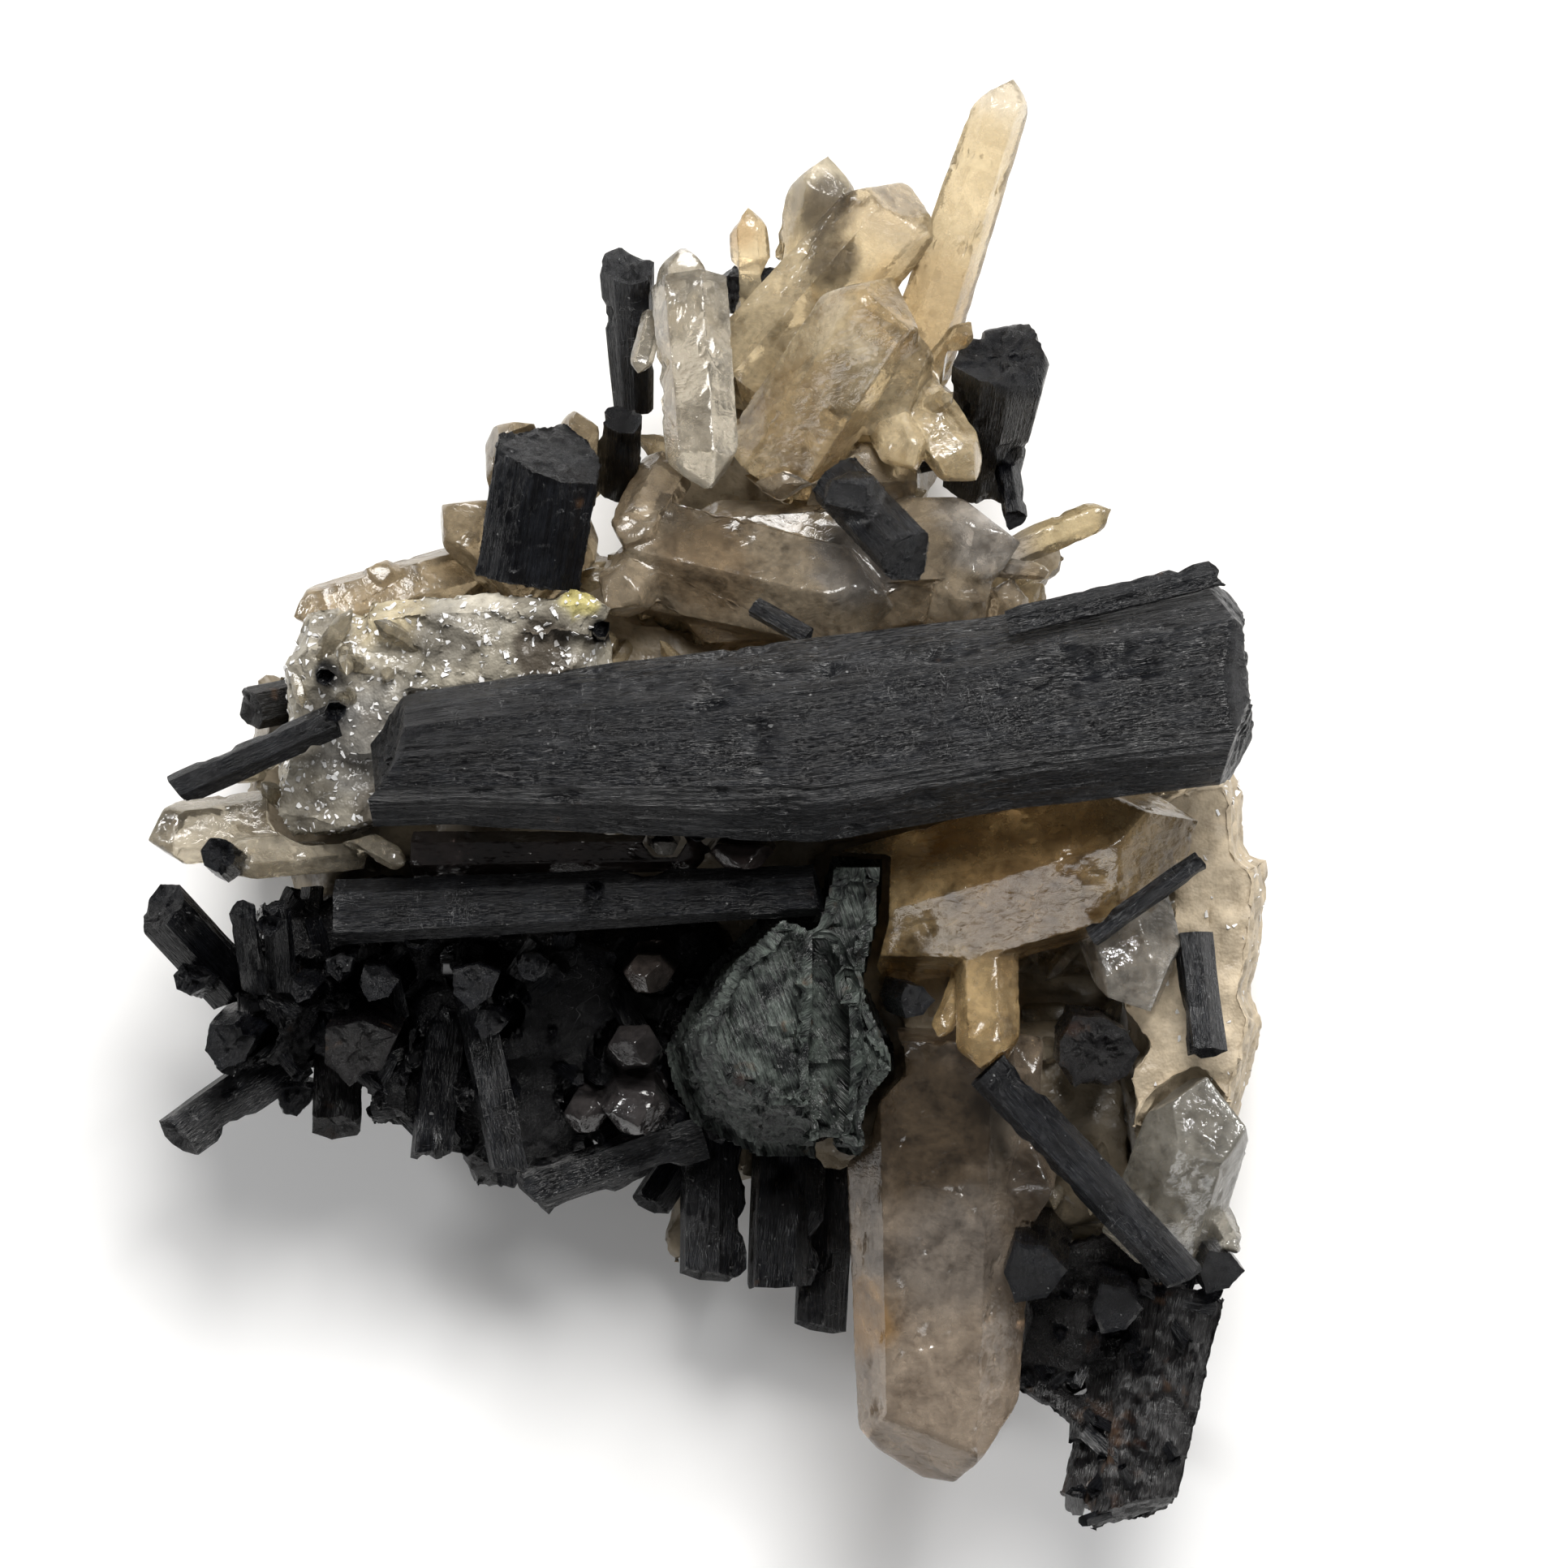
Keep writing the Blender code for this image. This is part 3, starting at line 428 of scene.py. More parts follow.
Prism = namedtuple(
    "Prism", "foot tip width depth roll taper tilt sides end chips rough",
    defaults=(None, 0.0, 1.0, (0.0, 0.0), 9, "flat", 2, 0.6),
)


def three_cornered(width, depth, rng, sides):
    """The cross-section of schorl: a triangle with rounded sides, in narrow flat faces."""
    points = []
    for i in range(sides):
        angle = math.tau * i / sides
        swell = 1.0 + 0.09 * math.cos(3 * angle) + rng.uniform(-0.03, 0.03)
        x = 0.5 * width * swell * math.cos(angle)
        points.append((x, 0.5 * depth * swell * math.sin(angle)))
    return points


def standing(foot, tip, roll):
    """The matrix that turns a body that runs up +Z so that it runs from foot to tip."""
    foot, tip = Vector(foot), Vector(tip)
    along = (tip - foot).normalized()
    up = Vector((0, 0, 1))
    if abs(along.z) > 0.95:
        up = Vector((0, 1, 0))
    across = along.cross(up).normalized()
    facing = across.cross(along).normalized()
    turn = Matrix((-across, facing, along)).transposed().to_4x4()
    return Matrix.Translation(foot) @ turn @ Matrix.Rotation(math.radians(roll), 4, "Z")


def end_planes(prism, length, rng):
    """The flat faces that end a prism, each a point on it and the direction that it faces."""
    planes = []
    if prism.end == "point":
        start = rng.uniform(0, 0.3)
        for i in range(3):
            angle = math.tau * (i + 0.5) / 3 + start
            normal = Vector((math.cos(angle), math.sin(angle), 0)) * math.sin(SCHORL_POINT)
            normal.z = math.cos(SCHORL_POINT)
            drop = prism.width * 0.1 * (rng.uniform(0.5, 1.0) if i % 2 else rng.uniform(0, 0.3))
            planes.append((np.array((0, 0, length - drop)), np.array(normal)))
    else:
        slope = [math.tan(math.radians(angle)) for angle in prism.tilt]
        planes.append((np.array((0, 0, length)), np.array((*slope, 1.0))))
    depth = prism.depth or 0.9 * prism.width
    for _ in range(prism.chips):
        angle = rng.uniform(0, math.tau)
        facing = np.array((math.cos(angle), math.sin(angle), rng.uniform(0.7, 1.3)))
        corner = np.array((math.cos(angle) * prism.width, math.sin(angle) * depth, 0)) * 0.42
        corner[2] = length - 0.02 * prism.width
        planes.append((corner, facing))
    return planes


def over_planes(planes, spots, start, lowest):
    """How far along the crystal its end lies over each spot of its cross-section."""
    height = np.full(len(spots), start)
    for point, normal in planes:
        plane = point[2] - ((spots - point[:2]) @ normal[:2]) / normal[2]
        height = np.minimum(height, plane) if lowest else np.maximum(height, plane)
    return height


def outline_of(profile, step):
    """Points along a closed outline, no further apart than the step."""
    points = []
    for corner, following in zip(profile, profile[1:] + profile[:1]):
        start, end = np.array(corner), np.array(following)
        count = max(1, round(float(np.linalg.norm(end - start)) / step))
        points += [start + (end - start) * i / count for i in range(count)]
    return np.array(points)


def striae(spots, heights, seed, depth, width=0.0):
    """How deep the stripes, ledges and breaks along a prism cut into it at each point."""
    at = np.stack([spots[:, 0], spots[:, 1], heights], 1)
    lost = 0.0
    if width:
        size = np.array((0.55, 0.55, 0.85)) * width
        broken = np.clip(rough_noise(at, size, seed + 6) - 0.22, 0, 1)
        lost = (0.42 * broken + 0.022 * (1 + soft_noise(at, size * 1.6, seed + 7))) * width
    broad = ridged(soft_noise(at, (0.9, 0.9, 16.0), seed))
    middle = ridged(soft_noise(at, (0.42, 0.42, 9.0), seed + 1))
    fine = ridged(soft_noise(at, (0.2, 0.2, 4.0), seed + 2))
    ledges = np.round(soft_noise(at, (1.9, 1.9, 22.0), seed + 3) * 2.2) / 2.2
    flaws = np.clip(rough_noise(at, (1.2, 1.2, 3.0), seed + 4) - 0.28, 0, 1)
    cut = 0.34 * broad + 0.30 * middle + 0.16 * fine + 0.35 * (0.5 + 0.5 * ledges) + 1.3 * flaws
    return cut * depth + lost


def prism_rings(profile, scale_at, length, tops, feet, step, seed, groove, rough, width):
    """The striated surface of a prism along +Z: up its sides and in over both its ends."""
    outline = outline_of(profile, step)
    count = len(outline)
    rows = max(8, int(length / (3.4 * step)))
    across, deep, shift = scale_at(np.full(count, length))
    rim = np.stack([outline[:, 0] * across + shift, outline[:, 1] * deep], 1)
    high = over_planes(tops, rim, length * 1.02, True)
    low = over_planes(feet, rim, 0.0, False)
    rings, crystal = [], []
    reach = np.linalg.norm(outline, axis=1)[:, None]
    for row in range(rows + 1):
        part = row / rows
        height = low + (high - low) * part
        across, deep, shift = scale_at(height)
        spots = np.stack([outline[:, 0] * across, outline[:, 1] * deep], 1)
        cut = striae(outline, height, seed, groove, width)[:, None]
        spots = spots * (1 - cut / reach)
        spots[:, 0] += shift
        rings.append(np.column_stack([spots, height]))
        crystal.append(np.column_stack([outline, height]))

    def broken(ring, planes, lowest, sign):
        """The end's own rings, from the rim in to the middle, with the break's relief."""
        inner, marks = [], []
        size = float(np.linalg.norm(ring[:, :2] - ring[:, :2].mean(0), axis=1).mean())
        steps = max(4, int(size / (1.5 * step)))
        middle = ring[:, :2].mean(0)
        for k in range(1, steps + 1):
            share = 1 - k / steps
            spots = middle + (ring[:, :2] - middle) * share
            height = over_planes(planes, spots, length * 1.02 if lowest else 0.0, lowest)
            flat = np.column_stack([spots, height * 0])
            relief = 0.8 * ridged(rough_noise(flat, 1.3, seed + 31, 3))
            relief += 0.6 * cells(flat, 0.7, seed + 37)[1]
            fall = sign * rough * relief * min(1, 1.6 * (1 - share) + 0.2)
            inner.append(np.column_stack([spots, height - fall]))
            marks.append(np.column_stack([spots, height + 3.0 * relief]))
        return inner, marks

    top_rings, top_marks = broken(rings[-1], tops, True, 1.0)
    foot_rings, foot_marks = broken(rings[0], feet, False, -1.0)
    rings = foot_rings[::-1] + rings + top_rings
    crystal = foot_marks[::-1] + crystal + top_marks
    ring = np.arange(count)
    after = np.roll(ring, -1)
    quads = []
    for k in range(len(rings) - 1):
        a, b = k * count, (k + 1) * count
        quads.append(np.stack([a + ring, a + after, b + after, b + ring], 1))
    return np.concatenate(rings), [np.concatenate(quads)], np.concatenate(crystal)


def prism_surface(prism, step=PRISM_STEP, groove=PRISM_GROOVE):
    """One prism in place, striated, with its broken or pointed end."""
    foot, tip = prism.foot, prism.tip
    rng = seeded("schorl", foot, tip, prism.width)
    depth = prism.depth or 0.9 * prism.width
    length = (Vector(tip) - Vector(foot)).length
    profile = three_cornered(prism.width, depth, rng, prism.sides)
    past = length + 0.5 * prism.width
    tops = end_planes(prism, length, rng)

    def scale_at(height):
        scale = 1 + (prism.taper - 1) * height / past
        return scale, scale, 0.0

    seed = rng.randrange(10000)
    groove = min(groove, 0.06 * prism.width)
    points, faces, crystal = prism_rings(
        profile, scale_at, length, tops, [], step, seed, groove, prism.rough, prism.width)
    turned = np.array(standing(foot, tip, prism.roll))
    points = points @ turned[:3, :3].T + turned[:3, 3]
    return Surface(points, faces, crystal + np.array((seed % 97, seed % 89, 0)))


# The large crystal's cross-section

LARGE_PROFILE = [
    (8.2, -1.0), (6.8, 2.4), (4.6, 4.6), (4.3, 5.4), (0.5, 6.3), (-3.4, 6.2),
    (-5.3, 5.0), (-8.0, 1.2), (-7.6, -3.4), (-4.0, -6.6), (1.0, -7.4), (5.8, -5.4),
]

# Its stations: how far along, how wide, how deep and how far to one side the crystal is

LARGE_STATIONS = (
    (0.00, 0.60, 0.72, 0.2), (0.10, 0.66, 0.80, 0.0), (0.32, 0.84, 0.92, -0.9),
    (0.51, 0.96, 1.00, -1.7), (0.73, 0.92, 1.00, -1.1), (1.00, 1.02, 1.00, -0.2),
)

# Its end faces: a point on each, as distances from the axis and from the tip, and where it faces

LARGE_END_CUTS = (
    ((7.7, 0.0, 1.6), (0.62, 0.10, 0.78)),
    ((-5.5, 0.0, 0.2), (-0.50, 0.10, 0.86)),
    ((0.0, 6.0, 0.4), (0.00, 0.75, 0.66)),
    ((0.0, -6.0, 1.3), (0.10, -0.80, 0.60)),
)

# The faces of its left end, each a point on it and where it faces, in the photograph's frame

LARGE_LEFT_CUTS = (
    ((-21.7, 8.2, 38.0), (-0.93, 0.31, 0.20)),
    ((-21.7, 8.2, 38.0), (-0.50, 0.60, 0.62)),
)
SPLINTER = Prism((22.0, 13.3, 40.6), (37.5, 16.9, 41.2), 2.6, 1.8, roll=20, tilt=(20, 10), sides=6)


def large_surface():
    """The large crystal in place, with its broken left end and its cut right end."""
    turned = np.array(standing(LARGE_LEFT_END, LARGE_RIGHT_END, 0))
    tops = [
        (np.array((up, forward, LARGE_LENGTH - short)), np.array(facing))
        for (up, forward, short), facing in LARGE_END_CUTS
    ]
    back = np.linalg.inv(turned)
    feet = [
        (back[:3, :3] @ np.array(point) + back[:3, 3], back[:3, :3] @ np.array(facing))
        for point, facing in LARGE_LEFT_CUTS
    ]
    shares, across, deep, shift = zip(*LARGE_STATIONS)
    heights = np.array(shares) * LARGE_LENGTH

    def scale_at(height):
        return [np.interp(height, heights, values) for values in (across, deep, shift)]

    points, faces, crystal = prism_rings(
        LARGE_PROFILE, scale_at, LARGE_LENGTH, tops, feet, LARGE_STEP, LARGE_SEED, LARGE_GROOVE,
        LARGE_BREAK, LARGE_FLAW_SIZE)
    points = points @ turned[:3, :3].T + turned[:3, 3]
    return Surface(points, faces, crystal)


# The other prisms, under the names of their solids

SINGLE = {
    "second_schorl": Prism(
        (-27.5, -8.2, 26.0), (8.2, -6.5, 31.0), 5.4, 5.0, taper=0.74, tilt=(8, 0)),
    "diagonal_schorl": Prism(
        (20.6, -19.6, 30.5), (35.2, -35.2, 29.0), 4.0, 3.2, taper=0.92, tilt=(-18, 10)),
    "thin_left_schorl": Prism(
        (-27.6, 6.4, 29.0), (-39.4, 1.2, 27.5), 2.9, 2.4, tilt=(12, 0), sides=6),
    "side_rod_schorl": Prism((28.4, -9.8, 31.2), (36.4, -4.1, 33.4), 1.8, 1.5, sides=6),
    "round_end_schorl": Prism(
        (28.4, -17.6, 20.0), (28.7, -18.3, 33.0), 6.7, 6.2, tilt=(8, -10), rough=0.7),
    "shiny_end_schorl": Prism(
        (13.9, -14.0, 22.0), (15.4, -14.4, 35.0), 3.0, 3.2, sides=6, end="point"),
    "top_left_schorl": Prism(
        (-5.5, 29.6, 17.0), (-5.9, 40.6, 22.0), 3.2, 3.2, roll=12, taper=1.55, tilt=(8, 30)),
    "top_right_schorl": Prism(
        (20.5, 24.4, 14.0), (22.0, 33.6, 25.5), 6.2, 6.0, roll=25, taper=1.42, tilt=(6, -8)),
    "right_small_schorl": Prism(
        (22.2, 25.0, 18.0), (22.8, 21.2, 22.5), 2.2, tilt=(10, 10), sides=6),
    "tiny_red_schorl": Prism((3.4, 14.6, 29.5), (7.4, 12.3, 31.5), 1.7, 1.4, sides=6),
    "small_upper_schorl": Prism(
        (-6.6, 23.4, 19.0), (-6.3, 28.8, 24.5), 3.6, 3.0, tilt=(4, 18)),
    "far_left_schorl": Prism((-27.0, 8.8, 15.0), (-34.4, 7.3, 18.0), 3.8, 4.0, tilt=(14, 12)),
    "right_edge_schorl": Prism(
        (35.8, -9.6, 26.0), (36.8, -18.4, 27.6), 3.3, 3.0, tilt=(0, 10), sides=6),
    "lower_hex_schorl_1": Prism(
        (24.6, -32.0, 15.0), (24.0, -34.6, 28.0), 5.2, 5.4, tilt=(4, 6), sides=6, rough=0.15),
    "lower_hex_schorl_2": Prism(
        (30.4, -35.6, 15.0), (30.2, -37.4, 26.5), 4.3, 4.4, tilt=(-5, 4), sides=6, rough=0.15),
    "lower_hex_schorl_3": Prism(
        (36.6, -32.6, 15.0), (38.0, -34.6, 26.0), 4.0, 4.0, tilt=(6, -4), sides=6, rough=0.15),
    "long_lower_schorl": Prism(
        (-0.6, -24.4, 16.0), (-13.6, -29.0, 17.5), 4.4, 3.8, tilt=(24, 0), sides=6),
}

# Rows of prisms: foot, tip, width, roll and the tilt of the end

CLUSTER = (
    ((-35.3, -13.5, 16.0), (-40.6, -7.5, 21.5), 5.0, 10, (8, 6)),
    ((-33.6, -13.6, 20.0), (-34.4, -7.7, 26.0), 2.4, 0, (0, 12)),
    ((-31.6, -13.4, 20.0), (-31.9, -7.6, 26.0), 2.5, 0, (0, -8)),
    ((-29.6, -13.0, 18.0), (-30.0, -13.7, 28.0), 2.4, 10, (4, 4)),
    ((-27.2, -12.4, 18.0), (-27.3, -11.9, 28.6), 2.6, 30, (8, 4)),
    ((-24.6, -12.6, 16.0), (-24.5, -13.2, 28.0), 3.6, 8, (-6, 8)),
    ((-25.4, -16.6, 14.0), (-26.0, -18.2, 27.0), 6.2, 20, (5, -8)),
    ((-34.2, -16.0, 13.0), (-35.6, -17.8, 24.5), 4.6, 14, (-8, 6)),
    ((-31.0, -18.4, 14.0), (-39.8, -24.8, 17.0), 4.4, 16, (10, 6)),
    ((-27.6, -15.8, 12.0), (-27.8, -24.2, 15.0), 5.0, 22, (4, 10)),
    ((-19.6, -14.0, 16.0), (-20.8, -26.2, 18.0), 3.6, 12, (12, 6)),
    ((-17.8, -14.0, 20.0), (-14.9, -27.3, 22.0), 3.2, 6, (-16, 4)),
    ((-17.0, -12.4, 16.0), (-17.3, -13.3, 27.4), 4.2, 24, (6, 6)),
    ((-15.8, -15.4, 16.0), (-16.2, -16.2, 26.0), 3.0, 4, (-4, 8)),
)
BOTTOM = (
    ((0.2, -22.0, 12.0), (0.1, -35.3, 14.0), 5.6, 14, (-6, 4)),
    ((6.0, -22.0, 11.0), (5.4, -36.2, 13.0), 6.2, 8, (5, -6)),
    ((8.8, -25.0, 8.0), (8.2, -39.3, 10.0), 4.6, 18, (-8, 6)),
    ((-0.4, -23.6, 9.0), (-4.6, -30.0, 11.0), 3.4, 10, (6, 8)),
)

for prefix, rows in (("cluster_schorl_{:02d}", CLUSTER), ("bottom_schorl_{}", BOTTOM)):
    for number, (foot, tip, width, roll, tilt) in enumerate(rows, 1):
        SINGLE[prefix.format(number)] = Prism(foot, tip, width, roll=roll, tilt=tilt, sides=6)


# Rough pieces and quartz, made from their solids on a fine mesh

def remeshed(name, node, size):
    """A copy of a solid's mesh on an even fine grid."""
    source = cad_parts[node]
    holder = bpy.data.objects.new(name, source.data.copy())
    bpy.context.scene.collection.objects.link(holder)
    step = holder.modifiers.new("grid", "REMESH")
    step.mode = "VOXEL"
    step.voxel_size = size * MM
    graph = bpy.context.evaluated_depsgraph_get()
    mesh = bpy.data.meshes.new_from_object(holder.evaluated_get(graph))
    bpy.data.objects.remove(holder)
    mesh.materials.clear()
    mesh.name = name
    return mesh


def split_long(points, triangles, limit):
    """The triangles cut at the middle of every edge that is longer than the limit, until none is."""
    while True:
        edges = np.concatenate([triangles[:, pair] for pair in ([0, 1], [1, 2], [2, 0])])
        edges = np.sort(edges, axis=1)
        edges, which = np.unique(edges, axis=0, return_inverse=True)
        long = np.linalg.norm(points[edges[:, 0]] - points[edges[:, 1]], axis=1) > limit
        if not long.any():
            return points, triangles
        middle = np.full(len(edges), -1)
        middle[long] = len(points) + np.arange(long.sum())
        points = np.concatenate([points, points[edges[long]].mean(1)])
        cut = middle[which.ravel()].reshape(3, -1).T
        done = [triangles[(cut < 0).all(1)]]
        for turn in range(3):
            a, b, c = np.roll(triangles, -turn, 1).T
            ab, bc, ca = np.roll(cut, -turn, 1).T
            one = (ab >= 0) & (bc < 0) & (ca < 0)
            done += [np.stack(corners, 1)[one] for corners in ((a, ab, c), (ab, b, c))]
            two = (ab >= 0) & (bc >= 0) & (ca < 0)
            done += [np.stack(corners, 1)[two] for corners in ((a, ab, c), (ab, bc, c), (ab, b, bc))]
        a, b, c = triangles.T
        ab, bc, ca = cut.T
        three = (cut >= 0).all(1)
        for corners in ((a, ab, ca), (ab, b, bc), (ca, bc, c), (ab, bc, ca)):
            done.append(np.stack(corners, 1)[three])
        triangles = np.concatenate(done)


def smoothed(points, triangles, share):
    """The points moved a little towards the middle of their neighbours, which wears the edges."""
    total, count = np.zeros_like(points), np.zeros(len(points))
    for first, second in ((0, 1), (1, 2), (2, 0), (1, 0), (2, 1), (0, 2)):
        for axis in range(3):
            values = points[triangles[:, second], axis]
            total[:, axis] += np.bincount(triangles[:, first], values, len(points))
        count += np.bincount(triangles[:, first], minlength=len(points))
    return points + share * (total / np.maximum(count, 1)[:, None] - points)


def refined(name, node, edge):
    """A copy of a solid's mesh in small triangles, its edges worn a little."""
    bm = bmesh.new()
    bm.from_mesh(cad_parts[node].data)
    bmesh.ops.remove_doubles(bm, verts=list(bm.verts), dist=0.002 * MM)
    bmesh.ops.triangulate(bm, faces=list(bm.faces))
    bm.verts.index_update()
    points = np.array([v.co[:] for v in bm.verts]) / MM - ORIGIN
    triangles = np.array([[v.index for v in face.verts] for face in bm.faces])
    bm.free()
    points, triangles = split_long(points, triangles, edge)
    for _ in range(WEAR_ROUNDS):
        points = smoothed(points, triangles, 0.4)
    return mesh_from(name, Surface(points, [triangles], points))


def quartz_relief(points, seed):
    """How deep the quartz's growth steps, etching and chips lie below its flat faces."""
    steps = np.round(rough_noise(points, 2.6, seed, 3) * 4) / 4
    waves = rough_noise(points, 1.3, seed + 5, 3)
    chips = np.clip(rough_noise(points, 1.8, seed + 8, 3) - 0.32, 0, 1)
    return 0.05 * (1 + steps) + 0.05 * (1 + waves) + 0.9 * chips


def hackly_relief(points, seed):
    """The relief of a rough break."""
    near, number = cells(points, 1.4, seed)
    return 0.35 * number + 0.25 * ridged(rough_noise(points, 2.4, seed + 2)) + 0.12 * near


BLACK = schorl_material("black schorl", srgb(3, 3, 5), srgb(22, 24, 29))
RUSTY = schorl_material("rusty schorl", srgb(5, 4, 5), srgb(30, 28, 28), 0.14, 0.42, 0.09)
GREY = schorl_material("grey schorl", srgb(12, 15, 15), srgb(92, 100, 94), 0.26, 0.55, 0.04, 0.6)
HONEY = quartz_material("honey quartz", (0.88, 0.42), srgb(242, 230, 204), 42.0, (0.05, 0.24))
SMOKY = quartz_material("smoky quartz", (0.88, 0.46), srgb(206, 192, 176), 70.0, (0.05, 0.24))
PALE = quartz_material("pale quartz", (0.92, 0.55), srgb(236, 230, 222), 40.0, (0.04, 0.22))
MICA = stone_material("mica quartz", 0.2, 0.5, 700.0, 0.3, 0.7)
EDGE = stone_material("feldspar", 0.45, 0.75, 650.0, 0.12, 0.6)
MATRIX = stone_material("matrix quartz", 0.25, 0.6, 500.0, 0.15, 0.5)
FELT = schorl_material("felted schorl", srgb(2, 2, 3), srgb(18, 18, 21), 0.10, 0.34)


def schorl_piece(node, surface, material):
    """The striated surface in place of its solid."""
    mesh = mesh_from(node + "_crystal", surface)
    store(mesh, "crystal", "FLOAT_VECTOR", surface.crystal)
    store(mesh, "tone", "FLOAT_COLOR", painted(surface.points, (1, 1, 1), uneven=0.2))
    piece_of(node + "_crystal", mesh, material, "black_schorl", node)


schorl_piece("large_schorl", joined([large_surface(), prism_surface(SPLINTER)]), BLACK)
RUSTED = {"round_end_schorl", "far_left_schorl", "cluster_schorl_07", "cluster_schorl_10"}
for node, prism in SINGLE.items():
    schorl_piece(node, prism_surface(prism), RUSTY if node in RUSTED else BLACK)


def lump_piece(node, size, material, slot, base, patches=(), relief=1.0, uneven=0.25, fibres=None):
    """A rough piece from its solid: the broken relief, or fibres along a direction."""
    mesh = remeshed(node + "_rock", node, size)
    points, normals = coordinates(mesh), directions(mesh)
    seed = seeded(node).randrange(10000)
    if fibres is None:
        depth = relief * hackly_relief(points, seed)
        crystal = points
    else:
        turned = np.array(standing((0, 0, 0), fibres, 0))[:3, :3]
        crystal = points @ turned
        depth = striae(crystal[:, :2], crystal[:, 2], seed, 0.55 * relief)
        depth += 0.25 * relief * cells(points, 1.6, seed + 1)[1]
    move_to(mesh, points - normals * depth[:, None])
    store(mesh, "crystal", "FLOAT_VECTOR", crystal)
    store(mesh, "tone", "FLOAT_COLOR", painted(points, base, patches, uneven, seed))
    piece_of(node + "_rock", mesh, material, slot, node, crease=50)


WHITE = (1.0, 1.0, 1.0)
lump_piece("grey_schorl_block", 0.28, GREY, "grey_schorl", WHITE, relief=2.2, fibres=(0.35, -1.0, 0.1))
lump_piece("middle_schorl", 0.2, BLACK, "black_schorl", WHITE, relief=0.5, fibres=(5.5, -6.0, 6.5))
lump_piece("upper_left_schorl", 0.22, BLACK, "black_schorl", WHITE, relief=0.7, fibres=(1.7, 10.0, 2.0))
lump_piece("top_rough_schorl", 0.18, BLACK, "black_schorl", WHITE, relief=0.6, fibres=(0.2, 1.0, 0.4))
lump_piece("lower_right_schorl", 0.3, RUSTY, "black_schorl", WHITE, relief=1.0, fibres=(-0.2, -1.0, 0.15))
lump_piece("schorl_mass", 0.42, FELT, "black_schorl", WHITE, relief=1.6, fibres=(0.3, -0.5, 1.0))
lump_piece("quartz_matrix", 0.85, MATRIX, "matrix_quartz", srgb(138, 126, 106), relief=1.2)
lump_piece("feldspar_edge", 0.42, EDGE, "feldspar", srgb(200, 184, 158), relief=1.2, uneven=0.4)
LEDGE_STAINS = (
    Patch(-9.3, 15.3, 1.7, (214, 202, 128)), Patch(-12.1, 11.2, 2.6, (70, 62, 54), 0.85),
    Patch(-7.6, 12.8, 1.0, (14, 14, 15), 1.0), Patch(-28.3, 9.5, 1.1, (14, 14, 16), 1.0),
    Patch(-27.0, 6.8, 1.3, (16, 15, 17), 1.0), Patch(-17.0, 16.4, 3.4, (196, 190, 176), 0.8),
    Patch(-24.0, 15.0, 3.0, (188, 174, 140), 0.7), Patch(-25.5, 5.0, 4.5, (150, 148, 144), 0.7),
    Patch(-19.5, 12.4, 2.4, (112, 108, 100), 0.7), Patch(-23.5, -0.5, 2.6, (120, 112, 100), 0.7),
)
lump_piece(
    "mica_quartz_ledge", 0.28, MICA, "mica_quartz", srgb(160, 154, 140), LEDGE_STAINS,
    relief=1.2, uneven=0.6)

# Quartz: its material, slot, colour and the longest edge of its fine mesh

QUARTZ = {
    "top_quartz_spray": (HONEY, "honey_quartz", (226, 208, 172), 0.75),
    "front_quartz": (PALE, "honey_quartz", (200, 192, 176), 0.54),
    "left_slope_quartz": (HONEY, "honey_quartz", (190, 172, 142), 0.64),
    "centre_quartz": (SMOKY, "smoky_quartz", (182, 166, 142), 0.75),
    "small_clear_quartz": (PALE, "pale_quartz", (170, 165, 158), 0.45),
    # The next colour holds painted shade: the crystal's own tone is a pinkish grey, and it is made this
    # dark for the shadow in the gap between the large and the second prism.
    "trapezoid_quartz": (SMOKY, "smoky_quartz", (74, 64, 62), 0.54),
    "left_tip_quartz": (PALE, "pale_quartz", (208, 198, 178), 0.54),
    "right_tan_quartz": (HONEY, "honey_quartz", (196, 170, 126), 0.68),
    "right_pale_quartz": (PALE, "pale_quartz", (206, 200, 190), 0.54),
    "lower_right_quartz": (PALE, "pale_quartz", (190, 186, 176), 0.57),
    "lower_quartz_point": (SMOKY, "smoky_quartz", (164, 148, 130), 0.75),
    # These two colours hold painted shade: the crystals' own tone is a smoky brown, and they are made this
    # dark for the shadow that they lie in low between the black crystals.
    "shadow_quartz_1": (SMOKY, "smoky_quartz", (84, 76, 72), 0.45),
    "shadow_quartz_2": (SMOKY, "smoky_quartz", (78, 74, 74), 0.45),
}
